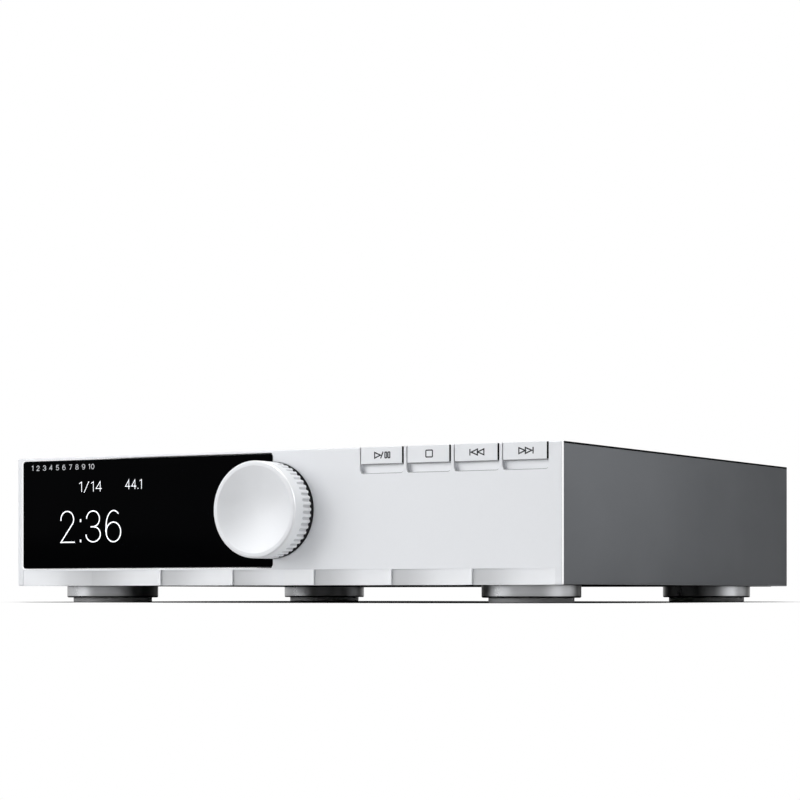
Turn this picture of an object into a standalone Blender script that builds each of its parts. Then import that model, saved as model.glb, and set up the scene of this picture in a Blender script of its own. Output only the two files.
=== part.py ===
"""A compact top-loading disc player, as separate solids in metres with Z up.

X runs to the right, Y to the back. The origin lies on the floor, under the
middle of the player's bounding box, with the knob at the front (-Y).
"""

import math

import bmesh
import bpy
from mathutils import Matrix, Vector

MM = 0.001

# Clearances and counts that many pieces share
FIT_GAP = 0.3 * MM
OVERRUN = 1.0 * MM
FUSE_DEPTH = 0.5 * MM
BIG_SEGMENTS = 36
MID_SEGMENTS = 20
SMALL_SEGMENTS = 12
CORNER_STEPS = 4

# Case
BODY_WIDTH = 260.0 * MM
BODY_DEPTH = 230.6 * MM
BODY_HEIGHT = 54.4 * MM
COVER_WALL = 1.5 * MM
COVER_CHAMFER = 0.45 * MM
BASE_WALL = 2.0 * MM
BASE_FLANGE_WALL = 1.2 * MM
BASE_FLANGE_HEIGHT = 12.0 * MM
REAR_WALL = 1.6 * MM
REAR_INSET = 1.0 * MM

# Feet: a metal disc let into the base, and a pad let into the disc
FOOT_DISC_DIAMETER = 39.2 * MM
FOOT_DISC_HEIGHT = 5.0 * MM
FOOT_DISC_ROUNDING = 0.7 * MM
FOOT_PAD_DIAMETER = 33.8 * MM
FOOT_PAD_HEIGHT = 2.0 * MM
FOOT_SEAT_DEPTH = 0.5 * MM
FOOT_SIDE_INSET = 28.2 * MM
FOOT_FRONT_INSET = 29.9 * MM
FOOT_REAR_INSET = 26.9 * MM

# Front panel, with a ledge along its top that carries the keys
PANEL_DEPTH = 8.0 * MM
PANEL_LIP_DEPTH = 1.6 * MM
PANEL_CHAMFER = 0.5 * MM
LEDGE_DEPTH = 14.5 * MM
LEDGE_HEIGHT = 6.9 * MM
MOUTH_CHAMFER = 0.25 * MM

# Facets cut into the lower edge of the panel
FACET_BAND_HEIGHT = 6.3 * MM
FACET_MARGIN = 2.9 * MM
FACET_DEPTH = 2.0 * MM
FACET_CREST_DEPTH = 0.15 * MM
FACETS_PER_SIDE = 3
FACET_STEPS = 6

# Display window and the display behind it
WINDOW_SIDE_MARGIN = 2.6 * MM
WINDOW_TOP_MARGIN = 1.4 * MM
WINDOW_BOTTOM_MARGIN = 1.1 * MM
WINDOW_WALL = 1.6 * MM
WINDOW_RECESS = 0.3 * MM
WINDOW_CORNER = 1.1 * MM
DISPLAY_SIDE_GAP = 11.6 * MM
DISPLAY_TOP_GAP = 9.8 * MM
DISPLAY_BOARD_MARGIN = 3.0 * MM
BOARD_WALL = 1.6 * MM

# Knob, its encoder and the black plate round it
KNOB_DIAMETER = 39.0 * MM
KNOB_DEPTH = 12.3 * MM
KNOB_STAND_OFF = 1.4 * MM
KNOB_RIM = 2.0 * MM
KNOB_EDGE_CHAMFER = 0.5 * MM
KNOB_DISH_DEPTH = 1.9 * MM
KNOB_FLUTE_BAND = 6.4 * MM
KNOB_FLUTE_DEPTH = 0.5 * MM
KNOB_CREST_INSET = 0.12 * MM
KNOB_FLUTES = 50
KNOB_WEB = 4.0 * MM
KNOB_WALL = 3.0 * MM
KNOB_HUB_RADIUS = 5.0 * MM
KNOB_HUB_SETBACK = 1.2 * MM
KNOB_DISH_SHARES = (0.35, 0.65, 0.88)
KNOB_PLATE_INSET = 0.3 * MM
KNOB_PUSH = 0.5 * MM
SHAFT_RADIUS = 3.0 * MM
SHAFT_GRIP = 4.0 * MM
BUSHING_RADIUS = 4.5 * MM
BUSHING_PROUD = 3.0 * MM
NUT_RADIUS = 7.0 * MM
NUT_HEIGHT = 2.0 * MM
ENCODER_WIDTH = 14.0 * MM
ENCODER_BACK_ROOM = 2.0 * MM
ENCODER_FACE_WALL = 1.6 * MM
PLUNGER_RADIUS = 4.8 * MM
PLUNGER_HEIGHT = 3.0 * MM
PLUNGER_FLOOR = 1.0 * MM

# Keys
KEY_NAMES = ("key_next", "key_previous", "key_stop", "key_play")
KEY_ROW_INSET = 5.68 * MM
KEY_KNOB_GAP = 21.82 * MM
KEY_RIB = 1.4 * MM
KEY_GAP = 0.35 * MM
KEY_DEPTH = 12.0 * MM
KEY_TOP_WALL = 2.5 * MM
KEY_FRONT_HEIGHT = 6.7 * MM
KEY_FRONT_WALL = 1.8 * MM
KEY_TRAVEL = 1.0 * MM
KEY_STEM_RADIUS = 1.5 * MM
KEY_STEM_OFFSET = 10.3 * MM
KEY_STEM_REACH = 2.0 * MM
SCOOP_HEIGHT = 3.65 * MM
SCOOP_DEPTH = 2.2 * MM
SCOOP_CORNER = 1.4 * MM
SWITCH_WIDTH = 6.0 * MM
SWITCH_HEIGHT = 3.5 * MM
KEY_BOARD_DEPTH = 11.0 * MM
KEY_BOARD_MARGIN = 1.5 * MM

# Disc bay and its lining
BAY_FRONT_OFFSET = 118.0 * MM
LINER_MARGIN = 4.0 * MM
LINER_FRONT = 90.0 * MM
LINER_HEIGHT = 16.6 * MM
WELL_RADIUS = 62.5 * MM
WELL_FLOOR_WALL = 2.0 * MM
HUB_HOLE_RADIUS = 15.5 * MM
LENS_SLOT_WIDTH = 16.0 * MM
LENS_SLOT_MARGIN = 2.0 * MM
NOTCH_RADIUS = 12.0 * MM
NOTCH_DEPTH = 8.4 * MM

# Lid and its hinge
LID_SIZE = 150.0 * MM
LID_WALL = 3.5 * MM
LID_GAP = 0.4 * MM
LID_CORNER = 6.0 * MM
LID_REST_GAP = 0.5 * MM
BARREL_RADIUS = 4.0 * MM
LID_WINDOW_RADIUS = 63.0 * MM
LID_WINDOW_WALL = 2.0 * MM
LID_LEDGE = 3.0 * MM
PIN_RADIUS = 1.5 * MM
PIN_REACH = 8.0 * MM
PIN_HEAD_RADIUS = 2.1 * MM
PIN_HEAD_WALL = 1.5 * MM

# Disc clamp in the lid
CLAMP_CUP_RADIUS = 16.5 * MM
CLAMP_CUP_WALL = 2.0 * MM
CLAMP_CUP_HEIGHT = 4.4 * MM
CLAMP_CUP_FLOOR = 0.8 * MM
CLAMP_FLANGE_WALL = 1.6 * MM
CLAMP_NECK_RADIUS = 10.5 * MM
CLAMP_FOOT_RADIUS = 14.5 * MM
CLAMP_FOOT_WALL = 2.6 * MM

# Turntable hub and its motor
HUB_RADIUS = 14.5 * MM
HUB_WALL = 3.3 * MM
HUB_ABOVE_WELL = 2.5 * MM
HUB_CONE_RADIUS = 7.4 * MM
HUB_CONE_HEIGHT = 3.0 * MM
HUB_CONE_TAPER = 1.4 * MM
HUB_STEM_RADIUS = 4.0 * MM
HUB_STEM_HEIGHT = 2.4 * MM
SPINDLE_RADIUS = 1.5 * MM
MOTOR_RADIUS = 12.0 * MM
MOTOR_HEIGHT = 10.3 * MM
MOTOR_FLOOR = 2.6 * MM
MOTOR_BOSS_RADIUS = 5.0 * MM
MOTOR_BOSS_PROUD = 1.4 * MM

# Mechanism deck, hung on rubber isolators round four posts
DECK_WALL = 1.6 * MM
DECK_DROP = 8.4 * MM
DECK_INSET = 3.0 * MM
POST_INSET = 9.0 * MM
POST_RADIUS = 5.0 * MM
POST_PEG_RADIUS = 2.5 * MM
ISOLATOR_RADIUS = 6.0 * MM
ISOLATOR_WAIST_RADIUS = 4.0 * MM
ISOLATOR_FLANGE_WALL = 2.4 * MM

# Laser sled, its rods and its gear train
ROD_RADIUS = 1.5 * MM
ROD_OFFSET = 19.0 * MM
ROD_START = 6.0 * MM
ROD_END = 79.0 * MM
ROD_HOLDER_LENGTH = 3.0 * MM
ROD_HOLDER_WIDTH = 7.0 * MM
SLED_HEIGHT = 6.0 * MM
SLED_CLEARANCE = 0.7 * MM
SLED_INNER = 9.0 * MM
SLED_OUTER = 15.0 * MM
SLED_TRAVEL = 36.0 * MM
LENS_START = 23.0 * MM
LENS_HOLDER_RADIUS = 5.0 * MM
LENS_HOLDER_HEIGHT = 3.0 * MM
LENS_FLOAT = 0.7 * MM
LENS_RADIUS = 2.2 * MM
LENS_HEIGHT = 0.8 * MM
LENS_ROOM = 0.8 * MM
LENS_SHARES = (1.0, 0.5, 0.0)
RACK_MODULE = 0.8 * MM
RACK_GAP = 4.0 * MM
RACK_BAR_WALL = 4.0 * MM
RACK_WALL = 3.0 * MM
RACK_RISE = 0.7 * MM
RACK_TEETH = 17
RACK_TEETH_AHEAD = 1
DRIVE_MODULE = 0.6 * MM
DRIVE_WALL = 2.0 * MM
IDLER_SMALL_TEETH = 12
IDLER_LARGE_TEETH = 30
PINION_TEETH = 10
GEAR_X = 40.0 * MM
BACKLASH = 0.2 * MM
PRESSURE_ANGLE = math.radians(20.0)
ADDENDUM_SHARE = 0.85
DEDENDUM_SHARE = 1.25
AXLE_RADIUS = 1.2 * MM
AXLE_PROUD = 0.7 * MM
SLED_MOTOR_RADIUS = 8.0 * MM
SLED_MOTOR_HEIGHT = 12.7 * MM
SLED_SHAFT_RADIUS = 1.0 * MM
SLED_BOSS_RADIUS = 3.0 * MM

# Boards and transformer
SIDE_BAY_GAP = 4.0 * MM
BOARD_SIDE_GAP = 2.0 * MM
BOARD_LIFT = 6.0 * MM
BOARD_FRONT_OFFSET = 24.0 * MM
BOARD_REAR_OFFSET = 30.0 * MM
BOSS_RADIUS = 3.0 * MM
BOSS_INSET = 6.0 * MM
CHIP_SHARE = 0.333
CHIP_HEIGHT = 2.4 * MM
CAN_SHARE = 0.12
CAN_HEIGHT = 16.0 * MM
MAIN_CHIP_SHARES = ((0.5, 0.2), (0.5, 0.42), (0.45, 0.64))
MAIN_CAN_SHARES = ((0.3, 0.85), (0.7, 0.85))
POWER_CHIP_SHARES = ((0.3, 0.14),)
POWER_CAN_SHARES = ((0.3, 0.32), (0.7, 0.32), (0.7, 0.14))
TRANSFORMER_SIDE_GAP = 3.0 * MM
TRANSFORMER_CORE = (24.0 * MM, 30.0 * MM)
TRANSFORMER_COIL_INSET = 4.0 * MM
TRANSFORMER_COIL = (34.0 * MM, 22.0 * MM)
TRANSFORMER_REAR_GAP = 4.0 * MM

# Sockets and switch on the rear panel
REAR_REACH = 9.0 * MM
SOCKET_RISE = 25.0 * MM
INLET_SIDE_INSET = 24.2 * MM
INLET_FLANGE = (31.0 * MM, 24.0 * MM)
INLET_BODY = (27.4 * MM, 20.4 * MM)
INLET_CAVITY = (24.4 * MM, 16.6 * MM)
INLET_DEPTH = 21.0 * MM
INLET_CAVITY_DEPTH = 17.0 * MM
INLET_PIN = (2.0 * MM, 4.0 * MM)
INLET_PIN_LENGTH = 14.0 * MM
INLET_PIN_SPREAD = 7.0 * MM
INLET_PIN_STEP = 1.5 * MM
SWITCH_SPACING = 38.0 * MM
SWITCH_FLANGE = (15.0 * MM, 21.0 * MM)
SWITCH_BODY = (13.0 * MM, 19.4 * MM)
SWITCH_CAVITY = (11.0 * MM, 17.4 * MM)
SWITCH_DEPTH = 15.0 * MM
SWITCH_CAVITY_DEPTH = 11.0 * MM
ROCKER_LENGTH = 16.2 * MM
ROCKER_PIVOT_DEPTH = 4.6 * MM
ROCKER_HEIGHT = 7.0 * MM
ROCKER_KEEL = 5.4 * MM
ROCKER_CROWN = 1.5 * MM
ROCKER_TILT = math.radians(8.0)
FLANGE_WALL = 2.0 * MM
JACK_SIDE_INSET = 20.2 * MM
JACK_STEPS = (46.0 * MM, 24.0 * MM, 0.0)
JACK_NAMES = ("rca_left", "rca_right", "coax_out")
JACK_RADIUS = 4.15 * MM
JACK_BORE_RADIUS = 1.6 * MM
JACK_BORE_DEPTH = 8.0 * MM
JACK_FLANGE_RADIUS = 6.5 * MM
JACK_FLANGE_WALL = 1.2 * MM
JACK_BODY = (10.0 * MM, 12.0 * MM)
JACK_BODY_DEPTH = 10.0 * MM

# Levels and faces worked out from the sizes above
FACE_Y = -(BODY_DEPTH + REAR_REACH - KNOB_DEPTH - KNOB_STAND_OFF) / 2
REAR_Y = FACE_Y + BODY_DEPTH
REAR_FACE_Y = REAR_Y - REAR_INSET
REAR_INNER_Y = REAR_FACE_Y - REAR_WALL
PANEL_BACK_Y = FACE_Y + PANEL_DEPTH
LEDGE_BACK_Y = FACE_Y + LEDGE_DEPTH
HALF_WIDTH = BODY_WIDTH / 2
COVER_INNER = HALF_WIDTH - COVER_WALL
INNER_HALF = COVER_INNER - FIT_GAP
BOTTOM_Z = FOOT_PAD_HEIGHT + FOOT_DISC_HEIGHT
TOP_Z = BOTTOM_Z + BODY_HEIGHT
BASE_TOP_Z = BOTTOM_Z + BASE_WALL
UNDER_COVER_Z = TOP_Z - COVER_WALL - FIT_GAP
LEDGE_BOTTOM_Z = TOP_Z - LEDGE_HEIGHT
FACET_TOP_Z = BOTTOM_Z + FACET_BAND_HEIGHT
WINDOW_LEFT_X = WINDOW_SIDE_MARGIN - HALF_WIDTH
WINDOW_TOP_Z = TOP_Z - WINDOW_TOP_MARGIN
WINDOW_BOTTOM_Z = FACET_TOP_Z + WINDOW_BOTTOM_MARGIN
POCKET_DEPTH = WINDOW_RECESS + WINDOW_WALL + FIT_GAP
KNOB_Z = (WINDOW_TOP_Z + WINDOW_BOTTOM_Z) / 2
KNOB_RADIUS = KNOB_DIAMETER / 2
KNOB_BACK_Y = FACE_Y - KNOB_STAND_OFF
KNOB_FRONT_Y = KNOB_BACK_Y - KNOB_DEPTH
PLATE_RADIUS = KNOB_RADIUS - KNOB_PLATE_INSET
RECESS_RADIUS = PLATE_RADIUS + FIT_GAP
DISPLAY_X = (WINDOW_LEFT_X - RECESS_RADIUS) / 2
DISPLAY_WIDTH = -RECESS_RADIUS - WINDOW_LEFT_X - 2 * DISPLAY_SIDE_GAP
DISPLAY_HEIGHT = WINDOW_TOP_Z - WINDOW_BOTTOM_Z - 2 * DISPLAY_TOP_GAP
ENCODER_FRONT_Y = PANEL_BACK_Y + FIT_GAP
PLUNGER_FRONT_Y = ENCODER_FRONT_Y + ENCODER_FACE_WALL + FIT_GAP
PLUNGER_BACK_Y = PLUNGER_FRONT_Y + PLUNGER_HEIGHT
ENCODER_BACK_Y = PLUNGER_BACK_Y + KNOB_PUSH + ENCODER_BACK_ROOM
KEY_ROW_WIDTH = HALF_WIDTH - KEY_ROW_INSET - RECESS_RADIUS - KEY_KNOB_GAP
KEY_PITCH = (KEY_ROW_WIDTH + KEY_RIB) / len(KEY_NAMES)
SLOT_WIDTH = KEY_PITCH - KEY_RIB
KEY_WIDTH = SLOT_WIDTH - 2 * KEY_GAP
KEY_STEM_Y = FACE_Y + KEY_STEM_OFFSET
KEY_STEM_BOTTOM_Z = LEDGE_BOTTOM_Z - KEY_STEM_REACH
KEY_BOARD_TOP_Z = KEY_STEM_BOTTOM_Z - KEY_TRAVEL - FIT_GAP - SWITCH_HEIGHT
BAY_Y = FACE_Y + BAY_FRONT_OFFSET
LINER_BOTTOM_Z = UNDER_COVER_Z - LINER_HEIGHT
WELL_FLOOR_Z = LINER_BOTTOM_Z + WELL_FLOOR_WALL
LID_HALF = LID_SIZE / 2
LINER_HALF = LID_HALF + LINER_MARGIN
DECK_HALF = LINER_HALF - DECK_INSET
LID_BOTTOM_Z = TOP_Z - LID_WALL
HINGE_Y = BAY_Y + LID_HALF - BARREL_RADIUS
HINGE_Z = TOP_Z - BARREL_RADIUS
DISC_Z = WELL_FLOOR_Z + HUB_ABOVE_WELL
DECK_BOTTOM_Z = LINER_BOTTOM_Z - DECK_DROP - DECK_WALL
DECK_TOP_Z = DECK_BOTTOM_Z + DECK_WALL
POST_OFFSET = LINER_HALF - POST_INSET
SLED_BOTTOM_Z = DECK_TOP_Z + SLED_CLEARANCE
SLED_TOP_Z = SLED_BOTTOM_Z + SLED_HEIGHT
LENS_TOP_Z = SLED_TOP_Z + LENS_FLOAT + LENS_HOLDER_HEIGHT + LENS_HEIGHT
ROD_Z = SLED_BOTTOM_Z + SLED_HEIGHT / 2
BUSH_RADIUS = SLED_HEIGHT / 2
RACK_BOTTOM_Z = SLED_BOTTOM_Z + RACK_RISE
RACK_TOP_Z = RACK_BOTTOM_Z + RACK_WALL
RACK_BACK_Y = BAY_Y + ROD_OFFSET + RACK_GAP
RACK_PITCH_Y = RACK_BACK_Y + RACK_BAR_WALL + DEDENDUM_SHARE * RACK_MODULE
IDLER_Y = RACK_PITCH_Y + RACK_MODULE * IDLER_SMALL_TEETH / 2
DRIVE_BOTTOM_Z = RACK_TOP_Z + FIT_GAP
DRIVE_TOP_Z = DRIVE_BOTTOM_Z + DRIVE_WALL
PINION_X = GEAR_X - DRIVE_MODULE * (IDLER_LARGE_TEETH + PINION_TEETH) / 2
BOARD_INNER_X = LINER_HALF + SIDE_BAY_GAP
BOARD_OUTER_X = INNER_HALF - BASE_FLANGE_WALL - BOARD_SIDE_GAP
BOARD_WIDTH = BOARD_OUTER_X - BOARD_INNER_X
CHIP_WIDTH = BOARD_WIDTH * CHIP_SHARE
CAN_RADIUS = BOARD_WIDTH * CAN_SHARE
TRANSFORMER_CORE_WIDTH = BOARD_WIDTH - 2 * TRANSFORMER_SIDE_GAP
TRANSFORMER_COIL_WIDTH = TRANSFORMER_CORE_WIDTH - 2 * TRANSFORMER_COIL_INSET
BOARD_Z = BASE_TOP_Z + BOARD_LIFT
BOARD_FRONT_Y = FACE_Y + BOARD_FRONT_OFFSET
BOARD_REAR_Y = REAR_Y - BOARD_REAR_OFFSET
SOCKET_Z = BOTTOM_Z + SOCKET_RISE
INLET_X = INLET_SIDE_INSET - INNER_HALF
SWITCH_X = INLET_X + SWITCH_SPACING
JACK_X = tuple(INNER_HALF - JACK_SIDE_INSET - step for step in JACK_STEPS)

# Which two world axes an outline lies in, and which one it is extruded along
AXES = {"X": (1, 2, 0), "Y": (0, 2, 1), "Z": (0, 1, 2)}


def clear_scene():
    """Remove every object that the file starts with."""
    for item in list(bpy.data.objects):
        bpy.data.objects.remove(item, do_unlink=True)


def finish(name, colour, roughness, metallic):
    """Return the named Principled material, made on first use."""
    material = bpy.data.materials.get(name)
    if material is None:
        material = bpy.data.materials.new(name)
        material.use_nodes = True
        shader = material.node_tree.nodes["Principled BSDF"]
        shader.inputs["Base Color"].default_value = (*colour, 1.0)
        shader.inputs["Roughness"].default_value = roughness
        shader.inputs["Metallic"].default_value = metallic
    return material


def silver():
    return finish("satin_silver", (0.78, 0.78, 0.77), 0.38, 0.6)


def graphite():
    return finish("graphite_paint", (0.13, 0.13, 0.135), 0.5, 0.3)


def black_plastic():
    return finish("black_plastic", (0.02, 0.02, 0.022), 0.45, 0.0)


def black_gloss():
    return finish("black_gloss", (0.006, 0.006, 0.007), 0.05, 0.0)


def smoked_glass():
    return finish("smoked_glass", (0.03, 0.03, 0.032), 0.04, 0.0)


def rubber():
    return finish("grey_rubber", (0.16, 0.16, 0.16), 0.8, 0.0)


def steel():
    return finish("plated_steel", (0.6, 0.6, 0.62), 0.3, 1.0)


def spun_metal():
    return finish("spun_aluminium", (0.5, 0.5, 0.51), 0.22, 1.0)


def white_plastic():
    return finish("ivory_plastic", (0.7, 0.69, 0.64), 0.5, 0.0)


def green_board():
    return finish("circuit_board", (0.02, 0.14, 0.06), 0.5, 0.0)


def to_object(name, bm, material):
    """Make a named object of a bmesh whose shells are closed."""
    bmesh.ops.recalc_face_normals(bm, faces=bm.faces[:])
    mesh = bpy.data.meshes.new(name)
    bm.to_mesh(mesh)
    bm.free()
    piece = bpy.data.objects.new(name, mesh)
    bpy.context.scene.collection.objects.link(piece)
    mesh.materials.append(material)
    mesh.shade_smooth()
    mesh.set_sharp_from_angle(angle=math.radians(30.0))
    return piece


def combine(host, bm, operation):
    """Join a bmesh to the host or cut it away, with an exact Boolean."""
    name = f"{host.name}_tool_{len(host.modifiers) + 1}"
    tool = to_object(name, bm, host.data.materials[0])
    tool.hide_render = True
    tool.display_type = "WIRE"
    modifier = host.modifiers.new(name, "BOOLEAN")
    modifier.operation = operation
    modifier.solver = "EXACT"
    modifier.object = tool


def fuse(host, bm):
    combine(host, bm, "UNION")


def cut(host, bm):
    combine(host, bm, "DIFFERENCE")


def axis_empty(name, place, parent=None, parent_place=None):
    """Put an empty on a joint's axis, riding on another empty if one is given."""
    empty = bpy.data.objects.new(name, None)
    bpy.context.scene.collection.objects.link(empty)
    empty.location = Vector(place)
    if parent is not None:
        empty.parent = parent
        empty.matrix_parent_inverse = Matrix.Translation(-Vector(parent_place))
    return empty


def carry(empty, place, *pieces):
    """Let pieces ride on the empty of the joint that moves them."""
    for piece in pieces:
        piece.parent = empty
        piece.matrix_parent_inverse = Matrix.Translation(-Vector(place))


def point_on(axis, pair, height):
    """Turn a point of an outline and its height along the axis into a vector."""
    first, second, third = AXES[axis]
    place = [0.0, 0.0, 0.0]
    place[first], place[second], place[third] = pair[0], pair[1], height
    return Vector(place)


def loft(bm, axis, stations):
    """Skin outlines of as many points each, with both ends capped."""
    rings = []
    for outline, height in stations:
        rings.append([bm.verts.new(point_on(axis, pair, height)) for pair in outline])
    for lower, upper in zip(rings, rings[1:]):
        for index in range(len(lower)):
            after = (index + 1) % len(lower)
            bm.faces.new((lower[index], lower[after], upper[after], upper[index]))
    bm.faces.new(rings[0])
    bm.faces.new(rings[-1])


def prism(bm, axis, outline, start, end):
    loft(bm, axis, [(outline, start), (outline, end)])


def block(bm, low, high):
    """Add a box between two corners."""
    prism(bm, "Z", rect(low[0], high[0], low[1], high[1]), low[2], high[2])


def rect(left, right, low, high):
    return [(left, low), (right, low), (right, high), (left, high)]


def centred_rect(centre, size):
    across, up = size[0] / 2, size[1] / 2
    return rect(centre[0] - across, centre[0] + across, centre[1] - up, centre[1] + up)


def circle(centre, radius, count):
    """Points round a circle, from the first axis on."""
    return arc(centre, radius, 0.0, math.tau * (count - 1) / count, count - 1)


def arc(centre, radius, start, end, steps):
    """Points along an arc between two angles, both ends included."""
    points = []
    for step in range(steps + 1):
        angle = start + (end - start) * step / steps
        across = centre[0] + radius * math.cos(angle)
        up = centre[1] + radius * math.sin(angle)
        points.append((across, up))
    return points


def rounded_rect(left, right, low, high, radii):
    """A rectangle with its own radius at each corner; a zero keeps it sharp."""
    corners = (
        (left, low, 1, 1, math.pi),
        (right, low, -1, 1, 1.5 * math.pi),
        (right, high, -1, -1, 0.0),
        (left, high, 1, -1, 0.5 * math.pi),
    )
    points = []
    for (across, up, inward, upward, start), radius in zip(corners, radii):
        if radius <= 0:
            points.append((across, up))
            continue
        centre = (across + inward * radius, up + upward * radius)
        points += arc(centre, radius, start, start + math.pi / 2, CORNER_STEPS)
    return points


def turn(bm, axis, centre, profile, segments, ring=False):
    """Spin a profile of (radius, height) round an axis; a ring joins its ends."""
    rows = []
    for radius, height in profile:
        if radius <= 0:
            rows.append([bm.verts.new(point_on(axis, centre, height))])
        else:
            outline = circle(centre, radius, segments)
            rows.append([bm.verts.new(point_on(axis, pair, height)) for pair in outline])
    pairs = list(zip(rows, rows[1:]))
    if ring:
        pairs.append((rows[-1], rows[0]))
    for lower, upper in pairs:
        for index in range(segments):
            after = (index + 1) % segments
            corners = [lower[index % len(lower)], lower[after % len(lower)]]
            corners += [upper[after % len(upper)], upper[index % len(upper)]]
            bm.faces.new(list(dict.fromkeys(corners)))
    if not ring:
        for row in (rows[0], rows[-1]):
            if len(row) > 1:
                bm.faces.new(row)


def mouth(bm, outline_at, floor_y):
    """Add a pocket cutter for the panel's face, flared to chamfer its mouth."""
    flare = [(outline_at(2 * MOUTH_CHAMFER), FACE_Y - MOUTH_CHAMFER)]
    walls = [(outline_at(0), FACE_Y + MOUTH_CHAMFER), (outline_at(0), floor_y)]
    loft(bm, "Y", flare + walls)


def foot_places():
    """Names and centres of the four feet."""
    across = HALF_WIDTH - FOOT_SIDE_INSET
    front = FACE_Y + FOOT_FRONT_INSET
    back = REAR_Y - FOOT_REAR_INSET
    return {
        "front_left": (-across, front),
        "front_right": (across, front),
        "rear_left": (-across, back),
        "rear_right": (across, back),
    }


def post_places():
    """Centres of the four posts under the corners of the bay lining."""
    places = {}
    for depth_name, depth in (("front", -POST_OFFSET), ("rear", POST_OFFSET)):
        for side_name, side in (("left", -POST_OFFSET), ("right", POST_OFFSET)):
            places[f"{depth_name}_{side_name}"] = (side, BAY_Y + depth)
    return places


def board_spans():
    """Left and right edges of the two boards beside the bay."""
    return {
        "main": (BOARD_INNER_X, BOARD_OUTER_X),
        "power": (-BOARD_OUTER_X, -BOARD_INNER_X),
    }


def base_tray():
    """The floor of the case, with side flanges and board bosses."""
    inner = INNER_HALF - BASE_FLANGE_WALL
    rise = BOTTOM_Z + BASE_FLANGE_HEIGHT
    outline = [
        (-INNER_HALF, BOTTOM_Z), (INNER_HALF, BOTTOM_Z), (INNER_HALF, rise), (inner, rise),
        (inner, BASE_TOP_Z), (-inner, BASE_TOP_Z), (-inner, rise), (-INNER_HALF, rise),
    ]
    bm = bmesh.new()
    prism(bm, "Y", outline, PANEL_BACK_Y + FIT_GAP, REAR_INNER_Y - FIT_GAP)
    tray = to_object("base_tray", bm, graphite())
    bosses = bmesh.new()
    for left, right in board_spans().values():
        for across in (left + BOSS_INSET, right - BOSS_INSET):
            for depth in (BOARD_FRONT_Y + BOSS_INSET, BOARD_REAR_Y - BOSS_INSET):
                outline = circle((across, depth), BOSS_RADIUS, SMALL_SEGMENTS)
                prism(bosses, "Z", outline, BASE_TOP_Z - FUSE_DEPTH, BOARD_Z - FIT_GAP)
    fuse(tray, bosses)
    seats = bmesh.new()
    seat_radius = FOOT_DISC_DIAMETER / 2 + FIT_GAP
    seat_top = BOTTOM_Z + FOOT_SEAT_DEPTH + FIT_GAP
    for place in foot_places().values():
        outline = circle(place, seat_radius, BIG_SEGMENTS)
        prism(seats, "Z", outline, BOTTOM_Z - OVERRUN, seat_top)
    cut(tray, seats)


def feet():
    """Metal discs under the base, each with a pad let into it."""
    radius = FOOT_DISC_DIAMETER / 2
    pad_radius = FOOT_PAD_DIAMETER / 2
    disc_top = BOTTOM_Z + FOOT_SEAT_DEPTH
    seat_top = FOOT_PAD_HEIGHT + FOOT_SEAT_DEPTH + FIT_GAP
    disc_profile = [
        (0, seat_top),
        (pad_radius + FIT_GAP, seat_top),
        (pad_radius + FIT_GAP, FOOT_PAD_HEIGHT),
        (radius - FOOT_DISC_ROUNDING, FOOT_PAD_HEIGHT),
        (radius, FOOT_PAD_HEIGHT + FOOT_DISC_ROUNDING),
        (radius, disc_top),
        (0, disc_top),
    ]
    pad_profile = [(0, 0), (pad_radius, 0)]
    pad_profile += [(pad_radius, seat_top - FIT_GAP), (0, seat_top - FIT_GAP)]
    for corner, place in foot_places().items():
        bm = bmesh.new()
        turn(bm, "Z", place, disc_profile, BIG_SEGMENTS)
        to_object(f"foot_disc_{corner}", bm, spun_metal())
        bm = bmesh.new()
        turn(bm, "Z", place, pad_profile, BIG_SEGMENTS)
        to_object(f"foot_pad_{corner}", bm, rubber())


def lid_outline(growth):
    """Outline of the lid from above, or of the hole round it, rear edge square."""
    half = LID_HALF + growth
    corner = LID_CORNER + growth
    return rounded_rect(-half, half, BAY_Y - half, BAY_Y + half, (corner, corner, 0, 0))


def top_cover():
    """The folded cover: two sides and a top with the lid's opening."""
    chamfer = COVER_CHAMFER
    roof = TOP_Z - COVER_WALL
    outline = [
        (-HALF_WIDTH, BOTTOM_Z), (-HALF_WIDTH, TOP_Z - chamfer), (chamfer - HALF_WIDTH, TOP_Z),
        (HALF_WIDTH - chamfer, TOP_Z), (HALF_WIDTH, TOP_Z - chamfer), (HALF_WIDTH, BOTTOM_Z),
        (COVER_INNER, BOTTOM_Z), (COVER_INNER, roof), (-COVER_INNER, roof), (-COVER_INNER, BOTTOM_Z),
    ]
    front = FACE_Y + PANEL_LIP_DEPTH + FIT_GAP
    bm = bmesh.new()
    prism(bm, "Y", outline, front, REAR_Y)
    cover = to_object("top_cover", bm, graphite())
    room = bmesh.new()
    low = (-COVER_INNER, front - OVERRUN, roof - OVERRUN)
    high = (COVER_INNER, LEDGE_BACK_Y + FIT_GAP, TOP_Z + OVERRUN)
    block(room, low, high)
    cut(cover, room)
    opening = bmesh.new()
    prism(opening, "Z", lid_outline(LID_GAP), roof - OVERRUN, TOP_Z + OVERRUN)
    cut(cover, opening)
    notch = bmesh.new()
    outline = circle((0, BAY_Y - LID_HALF), NOTCH_RADIUS, MID_SEGMENTS)
    prism(notch, "Z", outline, roof - OVERRUN, TOP_Z + OVERRUN)
    cut(cover, notch)


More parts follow.
